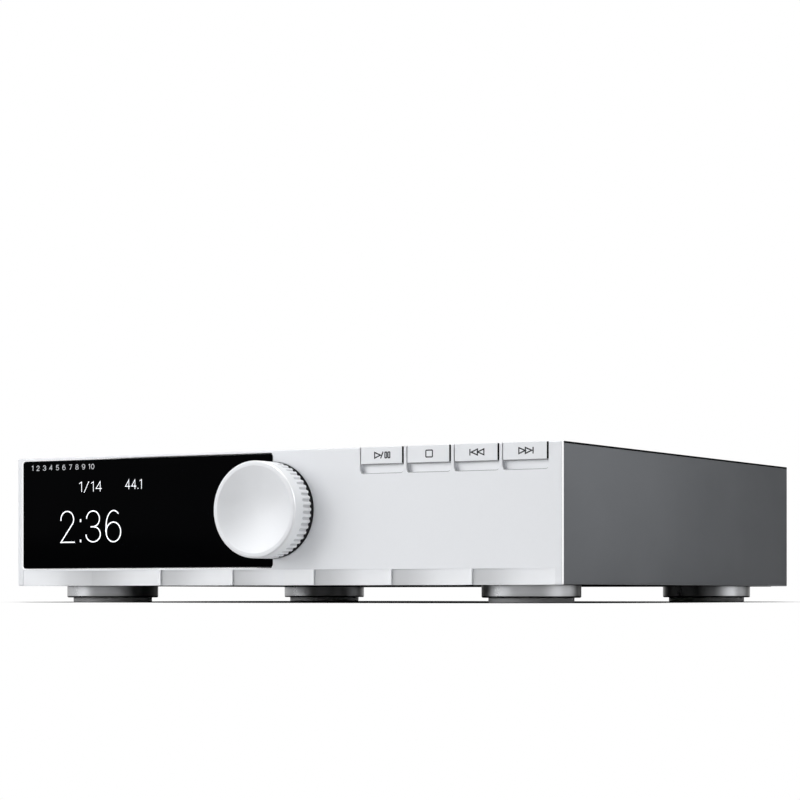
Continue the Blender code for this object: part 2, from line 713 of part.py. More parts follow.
def facet_outline():
    """Plan of the cutter that scallops the panel's lower edge.

    Each facet is deepest at its left end and rises to a crest at its right
    end. The first one is turned round, so the first two share one hollow.
    """
    centre_width = KNOB_DIAMETER
    side_span = BODY_WIDTH - 2 * FACET_MARGIN - centre_width
    side_width = side_span / (2 * FACETS_PER_SIDE)
    widths = [side_width] * FACETS_PER_SIDE + [centre_width] + [side_width] * FACETS_PER_SIDE
    left = FACET_MARGIN - HALF_WIDTH
    points = [(left, FACE_Y - OVERRUN)]
    for number, width in enumerate(widths):
        for step in range(FACET_STEPS + 1):
            share = step / FACET_STEPS
            climb = 1 - share if number == 0 else share
            fall = (FACET_DEPTH - FACET_CREST_DEPTH) * (1 - climb * climb)
            points.append((left + width * share, FACE_Y + FACET_CREST_DEPTH + fall))
        left += width
        if number == 0:
            points.pop()
    points.append((left, FACE_Y - OVERRUN))
    return points


def key_centres():
    """Keys' middle places across the panel, from the right one on."""
    first = HALF_WIDTH - KEY_ROW_INSET - SLOT_WIDTH / 2
    return [first - KEY_PITCH * number for number in range(len(KEY_NAMES))]


def scoop_outline(centre, growth):
    """Key slot and finger scoop as seen from the front, open at the top."""
    half = SLOT_WIDTH / 2 + growth
    low = TOP_Z - KEY_FRONT_HEIGHT - SCOOP_HEIGHT - growth
    corner = SCOOP_CORNER + growth
    return rounded_rect(centre - half, centre + half, low, TOP_Z + OVERRUN, (corner, corner, 0, 0))


def pocket_outline(growth):
    """The window's opening in the panel, from its left margin to the centre line."""
    corner = WINDOW_CORNER + growth
    low, high = WINDOW_BOTTOM_Z - growth, WINDOW_TOP_Z + growth
    return rounded_rect(WINDOW_LEFT_X - growth, growth, low, high, [corner] * 4)


def recess_outline(growth):
    return circle((0, KNOB_Z), RECESS_RADIUS + growth, BIG_SEGMENTS)


def cut_window(panel):
    """Sink the window, the knob's plate, the display and the encoder."""
    pocket = bmesh.new()
    mouth(pocket, pocket_outline, FACE_Y + POCKET_DEPTH)
    cut(panel, pocket)
    recess = bmesh.new()
    mouth(recess, recess_outline, FACE_Y + POCKET_DEPTH + FIT_GAP)
    cut(panel, recess)
    holes = bmesh.new()
    size = (DISPLAY_WIDTH + 2 * FIT_GAP, DISPLAY_HEIGHT + 2 * FIT_GAP)
    start, end = FACE_Y, PANEL_BACK_Y + OVERRUN
    prism(holes, "Y", centred_rect((DISPLAY_X, KNOB_Z), size), start, end)
    outline = circle((0, KNOB_Z), BUSHING_RADIUS + FIT_GAP, MID_SEGMENTS)
    prism(holes, "Y", outline, start, end)
    cut(panel, holes)


def cut_keys(panel):
    """Open a slot, a scoop and a stem hole for each key."""
    slots, scoops, stems = bmesh.new(), bmesh.new(), bmesh.new()
    slot_floor = TOP_Z - KEY_TOP_WALL - KEY_TRAVEL - KEY_GAP
    for centre in key_centres():
        half = SLOT_WIDTH / 2
        low = (centre - half, FACE_Y - OVERRUN, slot_floor)
        high = (centre + half, FACE_Y + KEY_DEPTH + KEY_GAP, TOP_Z + OVERRUN)
        block(slots, low, high)
        mouth(scoops, lambda growth, at=centre: scoop_outline(at, growth), FACE_Y + SCOOP_DEPTH)
        outline = circle((centre, KEY_STEM_Y), KEY_STEM_RADIUS + KEY_GAP, SMALL_SEGMENTS)
        prism(stems, "Z", outline, LEDGE_BOTTOM_Z - OVERRUN, slot_floor + OVERRUN)
    cut(panel, scoops)
    cut(panel, slots)
    cut(panel, stems)


def front_panel():
    """The metal front: a full lip, a thick plate and a ledge along its top."""
    bm = bmesh.new()
    inset = PANEL_CHAMFER
    small = rect(inset - HALF_WIDTH, HALF_WIDTH - inset, BOTTOM_Z + inset, TOP_Z - inset)
    full = rect(-HALF_WIDTH, HALF_WIDTH, BOTTOM_Z, TOP_Z)
    lip_back = FACE_Y + PANEL_LIP_DEPTH
    loft(bm, "Y", [(small, FACE_Y), (full, FACE_Y + inset), (full, lip_back)])
    panel = to_object("front_panel", bm, silver())
    start = FACE_Y + (PANEL_CHAMFER + PANEL_LIP_DEPTH) / 2
    side = [
        (start, BOTTOM_Z), (PANEL_BACK_Y, BOTTOM_Z), (PANEL_BACK_Y, LEDGE_BOTTOM_Z),
        (LEDGE_BACK_Y, LEDGE_BOTTOM_Z), (LEDGE_BACK_Y, TOP_Z), (start, TOP_Z),
    ]
    plate = bmesh.new()
    prism(plate, "X", side, -INNER_HALF, INNER_HALF)
    fuse(panel, plate)
    cut_window(panel)
    cut_keys(panel)
    facets = bmesh.new()
    prism(facets, "Z", facet_outline(), BOTTOM_Z - OVERRUN, FACET_TOP_Z)
    cut(panel, facets)


def window_outline(inset):
    """The glass: the pocket less a gap, with a bite round the knob's plate."""
    left, right = WINDOW_LEFT_X + inset, -inset
    low, high = WINDOW_BOTTOM_Z + inset, WINDOW_TOP_Z - inset
    corner = WINDOW_CORNER
    bite = RECESS_RADIUS
    turn_angle = math.acos(right / bite)
    points = arc((left + corner, low + corner), corner, math.pi, 1.5 * math.pi, CORNER_STEPS)
    points += [(right, low)]
    points += arc((0, KNOB_Z), bite, math.tau - turn_angle, turn_angle, MID_SEGMENTS)
    points += [(right, high)]
    points += arc((left + corner, high - corner), corner, math.pi / 2, math.pi, CORNER_STEPS)
    return points


def display_window():
    """The black glass over the left half of the panel."""
    bm = bmesh.new()
    start = FACE_Y + WINDOW_RECESS
    prism(bm, "Y", window_outline(FIT_GAP), start, start + WINDOW_WALL)
    to_object("display_window", bm, black_gloss())


def display_module():
    """The display behind the window, on its own board."""
    bm = bmesh.new()
    centre = (DISPLAY_X, KNOB_Z)
    start = FACE_Y + POCKET_DEPTH
    board_start = PANEL_BACK_Y + FIT_GAP
    board_end = board_start + BOARD_WALL
    prism(bm, "Y", centred_rect(centre, (DISPLAY_WIDTH, DISPLAY_HEIGHT)), start, board_start + FUSE_DEPTH)
    module = to_object("display_module", bm, black_plastic())
    board = bmesh.new()
    margin = 2 * DISPLAY_BOARD_MARGIN
    size = (DISPLAY_WIDTH + margin, DISPLAY_HEIGHT + margin)
    prism(board, "Y", centred_rect(centre, size), board_start, board_end)
    fuse(module, board)


def knob_plate():
    """The black plate let into the panel behind the knob."""
    bore = BUSHING_RADIUS + FIT_GAP
    back = FACE_Y + POCKET_DEPTH
    profile = [(bore, FACE_Y), (PLATE_RADIUS, FACE_Y), (PLATE_RADIUS, back), (bore, back)]
    bm = bmesh.new()
    turn(bm, "Y", (0, KNOB_Z), profile, BIG_SEGMENTS, ring=True)
    to_object("knob_plate", bm, black_plastic())


def fluted_outline():
    """Three points a flute: a flat crest and a sharp valley."""
    crest = KNOB_RADIUS - KNOB_CREST_INSET
    valley = crest - KNOB_FLUTE_DEPTH
    points = []
    for number in range(3 * KNOB_FLUTES):
        angle = math.tau * number / (3 * KNOB_FLUTES)
        radius = valley if number % 3 == 2 else crest
        points.append((radius * math.cos(angle), KNOB_Z + radius * math.sin(angle)))
    return points


def knob_piece():
    """The dished knob with a fluted rear band, hollow behind its web."""
    centre = (0, KNOB_Z)
    dish_radius = KNOB_RADIUS - KNOB_RIM
    front, back = KNOB_FRONT_Y, KNOB_BACK_Y
    edge = KNOB_EDGE_CHAMFER
    band_front = back - KNOB_FLUTE_BAND
    profile = [(0, front + KNOB_DISH_DEPTH)]
    for share in KNOB_DISH_SHARES:
        fall = KNOB_DISH_DEPTH * (1 - share * share)
        profile.append((dish_radius * share, front + fall))
    profile += [
        (dish_radius, front), (KNOB_RADIUS - edge, front), (KNOB_RADIUS, front + edge),
        (KNOB_RADIUS, band_front), (KNOB_RADIUS - KNOB_WALL, band_front),
        (KNOB_RADIUS - KNOB_WALL, back - KNOB_FLUTE_BAND / 2), (0, back - KNOB_FLUTE_BAND / 2),
    ]
    bm = bmesh.new()
    turn(bm, "Y", centre, profile, BIG_SEGMENTS)
    knob = to_object("knob", bm, silver())
    band = bmesh.new()
    prism(band, "Y", fluted_outline(), band_front - FUSE_DEPTH, back)
    fuse(knob, band)
    cavity_radius = KNOB_RADIUS - KNOB_WALL
    web_back = front + KNOB_WEB
    hub_back = FACE_Y - BUSHING_PROUD - KNOB_HUB_SETBACK
    bore_radius = SHAFT_RADIUS + FIT_GAP
    bore_end = shaft_front() - FIT_GAP
    profile = [
        (0, back + OVERRUN), (cavity_radius, back + OVERRUN), (cavity_radius, web_back),
        (KNOB_HUB_RADIUS, web_back), (KNOB_HUB_RADIUS, hub_back), (bore_radius, hub_back),
        (bore_radius, bore_end), (0, bore_end),
    ]
    cavity = bmesh.new()
    turn(cavity, "Y", centre, profile, BIG_SEGMENTS)
    cut(knob, cavity)
    return knob


def shaft_front():
    """Front end of the encoder's shaft, inside the knob's hub."""
    return FACE_Y - BUSHING_PROUD - KNOB_HUB_SETBACK - SHAFT_GRIP


def encoder_parts():
    """Encoder body and nut, with the plunger and shaft that move in them."""
    centre = (0, KNOB_Z)
    bm = bmesh.new()
    prism(bm, "Y", centred_rect(centre, (ENCODER_WIDTH, ENCODER_WIDTH)), ENCODER_FRONT_Y, ENCODER_BACK_Y)
    body = to_object("encoder_body", bm, steel())
    bushing = bmesh.new()
    tip = FACE_Y - BUSHING_PROUD
    outline = circle(centre, BUSHING_RADIUS, MID_SEGMENTS)
    prism(bushing, "Y", outline, tip, ENCODER_FRONT_Y + FUSE_DEPTH)
    fuse(body, bushing)
    bore = bmesh.new()
    chamber = ENCODER_FRONT_Y + ENCODER_FACE_WALL
    profile = [
        (0, tip - OVERRUN), (SHAFT_RADIUS + FIT_GAP, tip - OVERRUN), (SHAFT_RADIUS + FIT_GAP, chamber),
        (PLUNGER_RADIUS + FIT_GAP, chamber), (PLUNGER_RADIUS + FIT_GAP, ENCODER_BACK_Y + OVERRUN),
        (0, ENCODER_BACK_Y + OVERRUN),
    ]
    turn(bore, "Y", centre, profile, MID_SEGMENTS)
    cut(body, bore)
    bm = bmesh.new()
    inner = BUSHING_RADIUS + FIT_GAP
    back = FACE_Y - FIT_GAP
    front = back - NUT_HEIGHT
    profile = [(inner, front), (NUT_RADIUS, front), (NUT_RADIUS, back), (inner, back)]
    turn(bm, "Y", centre, profile, SMALL_SEGMENTS, ring=True)
    to_object("encoder_nut", bm, steel())
    bm = bmesh.new()
    cup = SHAFT_RADIUS + FIT_GAP
    floor = PLUNGER_BACK_Y - PLUNGER_FLOOR
    profile = [(0, floor), (cup, floor), (cup, PLUNGER_FRONT_Y), (PLUNGER_RADIUS, PLUNGER_FRONT_Y)]
    profile += [(PLUNGER_RADIUS, PLUNGER_BACK_Y), (0, PLUNGER_BACK_Y)]
    turn(bm, "Y", centre, profile, MID_SEGMENTS)
    plunger = to_object("encoder_plunger", bm, black_plastic())
    bm = bmesh.new()
    outline = circle(centre, SHAFT_RADIUS, MID_SEGMENTS)
    prism(bm, "Y", outline, shaft_front(), floor - FIT_GAP)
    shaft = to_object("encoder_shaft", bm, steel())
    return plunger, shaft


def knob_and_encoder():
    """Hang the knob and shaft on their axis, behind the push axis."""
    knob_plate()
    plunger, shaft = encoder_parts()
    knob = knob_piece()
    place = (0, KNOB_BACK_Y, KNOB_Z)
    push = axis_empty("knob_push_axis", place)
    spin = axis_empty("knob_spin_axis", place, push, place)
    carry(push, place, plunger)
    carry(spin, place, knob, shaft)


def keys():
    """Four caps that press down into the panel, each with a stem."""
    bottom = TOP_Z - KEY_FRONT_HEIGHT
    under = TOP_Z - KEY_TOP_WALL
    side = [
        (FACE_Y, bottom), (FACE_Y + KEY_FRONT_WALL, bottom), (FACE_Y + KEY_FRONT_WALL, under),
        (FACE_Y + KEY_DEPTH, under), (FACE_Y + KEY_DEPTH, TOP_Z), (FACE_Y, TOP_Z),
    ]
    for name, centre in zip(KEY_NAMES, key_centres()):
        bm = bmesh.new()
        prism(bm, "X", side, centre - KEY_WIDTH / 2, centre + KEY_WIDTH / 2)
        key = to_object(name, bm, silver())
        stem = bmesh.new()
        outline = circle((centre, KEY_STEM_Y), KEY_STEM_RADIUS, SMALL_SEGMENTS)
        prism(stem, "Z", outline, KEY_STEM_BOTTOM_Z, under + FUSE_DEPTH)
        fuse(key, stem)
        place = (centre, KEY_STEM_Y, KEY_STEM_BOTTOM_Z)
        carry(axis_empty(f"{name}_axis", place), place, key)


def key_board():
    """The board under the keys, with a switch below each stem."""
    centres = key_centres()
    reach = SLOT_WIDTH / 2 + KEY_BOARD_MARGIN
    front = PANEL_BACK_Y + FIT_GAP
    low = (centres[-1] - reach, front, KEY_BOARD_TOP_Z - BOARD_WALL)
    high = (centres[0] + reach, front + KEY_BOARD_DEPTH, KEY_BOARD_TOP_Z)
    bm = bmesh.new()
    block(bm, low, high)
    board = to_object("key_board", bm, green_board())
    switches = bmesh.new()
    for centre in centres:
        middle = max(KEY_STEM_Y, front + SWITCH_WIDTH / 2 + FIT_GAP)
        outline = centred_rect((centre, middle), (SWITCH_WIDTH, SWITCH_WIDTH))
        prism(switches, "Z", outline, KEY_BOARD_TOP_Z - FUSE_DEPTH, KEY_BOARD_TOP_Z + SWITCH_HEIGHT)
    fuse(board, switches)


def circuit_board(name, span, chip_shares, can_shares):
    """A board on the base's bosses, with chips and capacitors at shares of it."""
    left, right = span
    top = BOARD_Z + BOARD_WALL
    bm = bmesh.new()
    block(bm, (left, BOARD_FRONT_Y, BOARD_Z), (right, BOARD_REAR_Y, top))
    board = to_object(name, bm, green_board())
    parts = bmesh.new()
    width, depth = right - left, BOARD_REAR_Y - BOARD_FRONT_Y
    for across, back in chip_shares:
        centre = (left + width * across, BOARD_FRONT_Y + depth * back)
        outline = centred_rect(centre, (CHIP_WIDTH, CHIP_WIDTH))
        prism(parts, "Z", outline, top - FUSE_DEPTH, top + CHIP_HEIGHT)
    for across, back in can_shares:
        centre = (left + width * across, BOARD_FRONT_Y + depth * back)
        outline = circle(centre, CAN_RADIUS, SMALL_SEGMENTS)
        prism(parts, "Z", outline, top - FUSE_DEPTH, top + CAN_HEIGHT)
    fuse(board, parts)


def transformer():
    """The mains transformer standing on the rear of the power board."""
    bottom = BOARD_Z + BOARD_WALL + FIT_GAP
    centre_x = -(BOARD_INNER_X + BOARD_OUTER_X) / 2
    coil_depth, coil_height = TRANSFORMER_COIL
    core_depth, core_height = TRANSFORMER_CORE
    centre_y = BOARD_REAR_Y - TRANSFORMER_REAR_GAP - coil_depth / 2
    centre = (centre_x, centre_y)
    bm = bmesh.new()
    core_size = (TRANSFORMER_CORE_WIDTH, core_depth)
    prism(bm, "Z", centred_rect(centre, core_size), bottom, bottom + core_height)
    core = to_object("transformer", bm, steel())
    coil = bmesh.new()
    middle = bottom + core_height / 2
    half = coil_height / 2
    coil_size = (TRANSFORMER_COIL_WIDTH, coil_depth)
    prism(coil, "Z", centred_rect(centre, coil_size), middle - half, middle + half)
    fuse(core, coil)


def electronics():
    spans = board_spans()
    circuit_board("main_board", spans["main"], MAIN_CHIP_SHARES, MAIN_CAN_SHARES)
    circuit_board("power_board", spans["power"], POWER_CHIP_SHARES, POWER_CAN_SHARES)
    transformer()


def rear_panel():
    """The rear wall with a hole for each socket."""
    bm = bmesh.new()
    low = (-INNER_HALF, REAR_INNER_Y, BOTTOM_Z)
    block(bm, low, (INNER_HALF, REAR_FACE_Y, UNDER_COVER_Z))
    panel = to_object("rear_panel", bm, graphite())
    holes = bmesh.new()
    start, end = REAR_INNER_Y - OVERRUN, REAR_FACE_Y + OVERRUN
    for across, body in ((INLET_X, INLET_BODY), (SWITCH_X, SWITCH_BODY)):
        size = (body[0] + 2 * FIT_GAP, body[1] + 2 * FIT_GAP)
        prism(holes, "Y", centred_rect((across, SOCKET_Z), size), start, end)
    for across in JACK_X:
        outline = circle((across, SOCKET_Z), JACK_RADIUS + FIT_GAP, MID_SEGMENTS)
        prism(holes, "Y", outline, start, end)
    cut(panel, holes)


def flanged_box(name, centre, flange, body, depth):
    """A body through the rear panel with a flange outside it."""
    bm = bmesh.new()
    seat = REAR_FACE_Y + FIT_GAP
    face = seat + FLANGE_WALL
    prism(bm, "Y", centred_rect(centre, body), face - depth, seat + FUSE_DEPTH)
    piece = to_object(name, bm, black_plastic())
    rim = bmesh.new()
    prism(rim, "Y", centred_rect(centre, flange), seat, face)
    fuse(piece, rim)
    return piece, face


def mains_inlet():
    """A three-pin inlet, open to the rear."""
    centre = (INLET_X, SOCKET_Z)
    inlet, face = flanged_box("mains_inlet", centre, INLET_FLANGE, INLET_BODY, INLET_DEPTH)
    cavity = bmesh.new()
    floor = face - INLET_CAVITY_DEPTH
    prism(cavity, "Y", centred_rect(centre, INLET_CAVITY), floor, face + OVERRUN)
    cut(inlet, cavity)
    pins = bmesh.new()
    steps = ((-INLET_PIN_SPREAD, -1), (0, 1), (INLET_PIN_SPREAD, -1))
    for across, side in steps:
        place = (INLET_X + across, SOCKET_Z + side * INLET_PIN_STEP)
        start = floor - FUSE_DEPTH
        prism(pins, "Y", centred_rect(place, INLET_PIN), start, floor + INLET_PIN_LENGTH)
    fuse(inlet, pins)


def mains_switch():
    """The switch housing and the rocker in it, which turns about X."""
    centre = (SWITCH_X, SOCKET_Z)
    housing, face = flanged_box("switch_housing", centre, SWITCH_FLANGE, SWITCH_BODY, SWITCH_DEPTH)
    cavity = bmesh.new()
    floor = face - SWITCH_CAVITY_DEPTH
    prism(cavity, "Y", centred_rect(centre, SWITCH_CAVITY), floor, face + OVERRUN)
    cut(housing, cavity)
    pivot_y = face - ROCKER_PIVOT_DEPTH
    half = ROCKER_LENGTH / 2
    thick = ROCKER_HEIGHT / 2
    side = [
        (-thick, -ROCKER_KEEL / 2), (0, -half), (thick, -half), (thick - ROCKER_CROWN, 0),
        (thick, half), (0, half), (-thick, ROCKER_KEEL / 2),
    ]
    lean, rise = math.cos(ROCKER_TILT), math.sin(ROCKER_TILT)
    side = [(pivot_y + y * lean + z * rise, SOCKET_Z + z * lean - y * rise) for y, z in side]
    across = SWITCH_CAVITY[0] / 2 - FIT_GAP
    bm = bmesh.new()
    prism(bm, "X", side, SWITCH_X - across, SWITCH_X + across)
    rocker = to_object("power_rocker", bm, black_plastic())
    place = (SWITCH_X, pivot_y, SOCKET_Z)
    carry(axis_empty("rocker_axis", place), place, rocker)


def jacks():
    """Phono sockets, each with a threaded barrel outside and a body inside."""
    for name, across in zip(JACK_NAMES, JACK_X):
        centre = (across, SOCKET_Z)
        seat = REAR_FACE_Y + FIT_GAP
        tip = REAR_Y + REAR_REACH
        body_start = REAR_INNER_Y - FIT_GAP
        bore_floor = tip - JACK_BORE_DEPTH
        profile = [
            (0, body_start - FUSE_DEPTH), (JACK_RADIUS, body_start - FUSE_DEPTH), (JACK_RADIUS, seat),
            (JACK_FLANGE_RADIUS, seat), (JACK_FLANGE_RADIUS, seat + JACK_FLANGE_WALL),
            (JACK_RADIUS, seat + JACK_FLANGE_WALL), (JACK_RADIUS, tip), (JACK_BORE_RADIUS, tip),
            (JACK_BORE_RADIUS, bore_floor), (0, bore_floor),
        ]
        bm = bmesh.new()
        turn(bm, "Y", centre, profile, MID_SEGMENTS)
        jack = to_object(name, bm, steel())
        body = bmesh.new()
        prism(body, "Y", centred_rect(centre, JACK_BODY), body_start - JACK_BODY_DEPTH, body_start)
        fuse(jack, body)


def bay_liner():
    """The moulded bay: a round well, a seat for the lid and a finger notch."""
    bm = bmesh.new()
    low = (-LINER_HALF, BAY_Y - LINER_FRONT, LINER_BOTTOM_Z)
    block(bm, low, (LINER_HALF, BAY_Y + LINER_HALF, UNDER_COVER_Z))
    liner = to_object("bay_liner", bm, black_plastic())
    above = UNDER_COVER_Z + OVERRUN
    seat = bmesh.new()
    prism(seat, "Z", lid_outline(LID_GAP), LID_BOTTOM_Z - LID_REST_GAP, above)
    cut(liner, seat)
    well = bmesh.new()
    prism(well, "Z", circle((0, BAY_Y), WELL_RADIUS, BIG_SEGMENTS), WELL_FLOOR_Z, above)
    cut(liner, well)
    trench = bmesh.new()
    half = LID_HALF + LID_GAP
    front = HINGE_Y - BARREL_RADIUS - LID_GAP
    low = (-half, front, HINGE_Z - BARREL_RADIUS - LID_GAP)
    block(trench, low, (half, BAY_Y + half, above))
    cut(liner, trench)
    notch = bmesh.new()
    outline = circle((0, BAY_Y - LID_HALF), NOTCH_RADIUS, MID_SEGMENTS)
    prism(notch, "Z", outline, TOP_Z - NOTCH_DEPTH, above)
    cut(liner, notch)
    hub_hole = bmesh.new()
    outline = circle((0, BAY_Y), HUB_HOLE_RADIUS, MID_SEGMENTS)
    prism(hub_hole, "Z", outline, LINER_BOTTOM_Z - OVERRUN, WELL_FLOOR_Z + OVERRUN)
    cut(liner, hub_hole)
    slot = bmesh.new()
    slot_end = LENS_START + SLED_TRAVEL + LENS_HOLDER_RADIUS + LENS_SLOT_MARGIN
    outline = rect(0, slot_end, BAY_Y - LENS_SLOT_WIDTH / 2, BAY_Y + LENS_SLOT_WIDTH / 2)
    prism(slot, "Z", outline, LINER_BOTTOM_Z - OVERRUN, LENS_TOP_Z + LENS_ROOM)
    cut(liner, slot)
    holes = bmesh.new()
    for side in (-1, 1):
        inner, outer = LID_HALF - OVERRUN, LINER_HALF + OVERRUN
        start, end = sorted((side * inner, side * outer))
        outline = circle((HINGE_Y, HINGE_Z), PIN_RADIUS + FIT_GAP, SMALL_SEGMENTS)
        prism(holes, "X", outline, start, end)
    cut(liner, holes)


def lid_frame():
    """The lid's metal frame, with its hinge barrel along the rear edge."""
    bm = bmesh.new()
    half = LID_HALF
    corner = LID_CORNER
    outline = rounded_rect(-half, half, BAY_Y - half, HINGE_Y, (corner, corner, 0, 0))
    prism(bm, "Z", outline, LID_BOTTOM_Z, TOP_Z)
    frame = to_object("lid_frame", bm, graphite())
    barrel = bmesh.new()
    prism(barrel, "X", circle((HINGE_Y, HINGE_Z), BARREL_RADIUS, MID_SEGMENTS), -half, half)
    fuse(frame, barrel)
    seat_radius = LID_WINDOW_RADIUS + FIT_GAP
    seat_floor = TOP_Z - LID_WINDOW_WALL - FIT_GAP
    ledge = LID_WINDOW_RADIUS - LID_LEDGE
    profile = [
        (0, LID_BOTTOM_Z - OVERRUN), (ledge, LID_BOTTOM_Z - OVERRUN), (ledge, seat_floor),
        (seat_radius, seat_floor), (seat_radius, TOP_Z + OVERRUN), (0, TOP_Z + OVERRUN),
    ]
    hole = bmesh.new()
    turn(hole, "Z", (0, BAY_Y), profile, BIG_SEGMENTS)
    cut(frame, hole)
    bores = bmesh.new()
    for side in (-1, 1):
        inner, outer = half - PIN_REACH - FIT_GAP, half + OVERRUN
        start, end = sorted((side * inner, side * outer))
        outline = circle((HINGE_Y, HINGE_Z), PIN_RADIUS + FIT_GAP, SMALL_SEGMENTS)
        prism(bores, "X", outline, start, end)
    cut(frame, bores)
    return frame


def lid_window():
    """The smoked glass disc, flush with the top of the lid."""
    bm = bmesh.new()
    outline = circle((0, BAY_Y), LID_WINDOW_RADIUS, BIG_SEGMENTS)
    prism(bm, "Z", outline, TOP_Z - LID_WINDOW_WALL, TOP_Z)
    return to_object("lid_window", bm, smoked_glass())


def clamp_cup_levels():
    """Top and bottom of the cup glued under the lid's glass."""
    top = TOP_Z - LID_WINDOW_WALL - FIT_GAP
    return top, top - CLAMP_CUP_HEIGHT


def clamp_cup():
    """The cup that traps the clamp, with a lip round the clamp's neck."""
    top, bottom = clamp_cup_levels()
    inner = CLAMP_CUP_RADIUS - CLAMP_CUP_WALL
    lip = CLAMP_NECK_RADIUS + FIT_GAP
    roof = top - CLAMP_CUP_FLOOR
    profile = [
        (0, top), (CLAMP_CUP_RADIUS, top), (CLAMP_CUP_RADIUS, bottom), (lip, bottom),
        (lip, bottom + CLAMP_CUP_FLOOR), (inner, bottom + CLAMP_CUP_FLOOR), (inner, roof), (0, roof),
    ]
    bm = bmesh.new()
    turn(bm, "Z", (0, BAY_Y), profile, MID_SEGMENTS)
    return to_object("clamp_cup", bm, black_plastic())


def disc_clamp():
    """The free-spinning clamp that centres a disc on the hub."""
    bottom = clamp_cup_levels()[1]
    flange_radius = CLAMP_CUP_RADIUS - CLAMP_CUP_WALL - FIT_GAP
    flange_bottom = bottom + CLAMP_CUP_FLOOR + FIT_GAP
    foot_bottom = DISC_Z + FIT_GAP
    foot_top = foot_bottom + CLAMP_FOOT_WALL
    cone_room = HUB_CONE_RADIUS + FIT_GAP
    cone_roof = DISC_Z + HUB_CONE_HEIGHT + FIT_GAP
    profile = [
        (0, flange_bottom + CLAMP_FLANGE_WALL), (flange_radius, flange_bottom + CLAMP_FLANGE_WALL),
        (flange_radius, flange_bottom), (CLAMP_NECK_RADIUS, flange_bottom),
        (CLAMP_NECK_RADIUS, foot_top), (CLAMP_FOOT_RADIUS, foot_top),
        (CLAMP_FOOT_RADIUS, foot_bottom), (cone_room, foot_bottom), (cone_room, cone_roof), (0, cone_roof),
    ]
    bm = bmesh.new()
    turn(bm, "Z", (0, BAY_Y), profile, MID_SEGMENTS)
    return to_object("disc_clamp", bm, white_plastic())


def hinge_pins():
    """Two headed pins from the lining into the lid's barrel."""
    for name, side in (("hinge_pin_left", -1), ("hinge_pin_right", 1)):
        tip = side * (LID_HALF - PIN_REACH)
        shoulder = side * (LINER_HALF + FIT_GAP)
        head = shoulder + side * PIN_HEAD_WALL
        profile = [
            (0, tip), (PIN_RADIUS, tip), (PIN_RADIUS, shoulder),
            (PIN_HEAD_RADIUS, shoulder), (PIN_HEAD_RADIUS, head), (0, head),
        ]
        bm = bmesh.new()
        turn(bm, "X", (HINGE_Y, HINGE_Z), profile, SMALL_SEGMENTS)
        to_object(name, bm, steel())


def lid():
    """The lid on its hinge, with the clamp spinning in it."""
    hinge_pins()
    place = (0, HINGE_Y, HINGE_Z)
    hinge = axis_empty("lid_axis", place)
    carry(hinge, place, lid_frame(), lid_window(), clamp_cup())
    spin_place = (0, BAY_Y, clamp_cup_levels()[1])
    spin = axis_empty("clamp_axis", spin_place, hinge, place)
    carry(spin, spin_place, disc_clamp())


def posts_and_isolators():
    """Posts from the base to the lining, with rubber rings that hold the deck."""
    shoulder = DECK_BOTTOM_Z - FIT_GAP - ISOLATOR_FLANGE_WALL - FIT_GAP
    post_profile = [
        (0, BASE_TOP_Z + FIT_GAP), (POST_RADIUS, BASE_TOP_Z + FIT_GAP), (POST_RADIUS, shoulder),
        (POST_PEG_RADIUS, shoulder), (POST_PEG_RADIUS, LINER_BOTTOM_Z - FIT_GAP),
        (0, LINER_BOTTOM_Z - FIT_GAP),
    ]
    bore = POST_PEG_RADIUS + FIT_GAP
    low = shoulder + FIT_GAP
    waist_low, waist_high = DECK_BOTTOM_Z - FIT_GAP, DECK_TOP_Z + FIT_GAP
    high = waist_high + ISOLATOR_FLANGE_WALL
    isolator_profile = [
        (bore, low), (ISOLATOR_RADIUS, low), (ISOLATOR_RADIUS, waist_low),
        (ISOLATOR_WAIST_RADIUS, waist_low), (ISOLATOR_WAIST_RADIUS, waist_high),
        (ISOLATOR_RADIUS, waist_high), (ISOLATOR_RADIUS, high), (bore, high),
    ]
    for corner, place in post_places().items():
        bm = bmesh.new()
        turn(bm, "Z", place, post_profile, SMALL_SEGMENTS)
        to_object(f"deck_post_{corner}", bm, steel())
        bm = bmesh.new()
        turn(bm, "Z", place, isolator_profile, SMALL_SEGMENTS, ring=True)
        to_object(f"isolator_{corner}", bm, rubber())


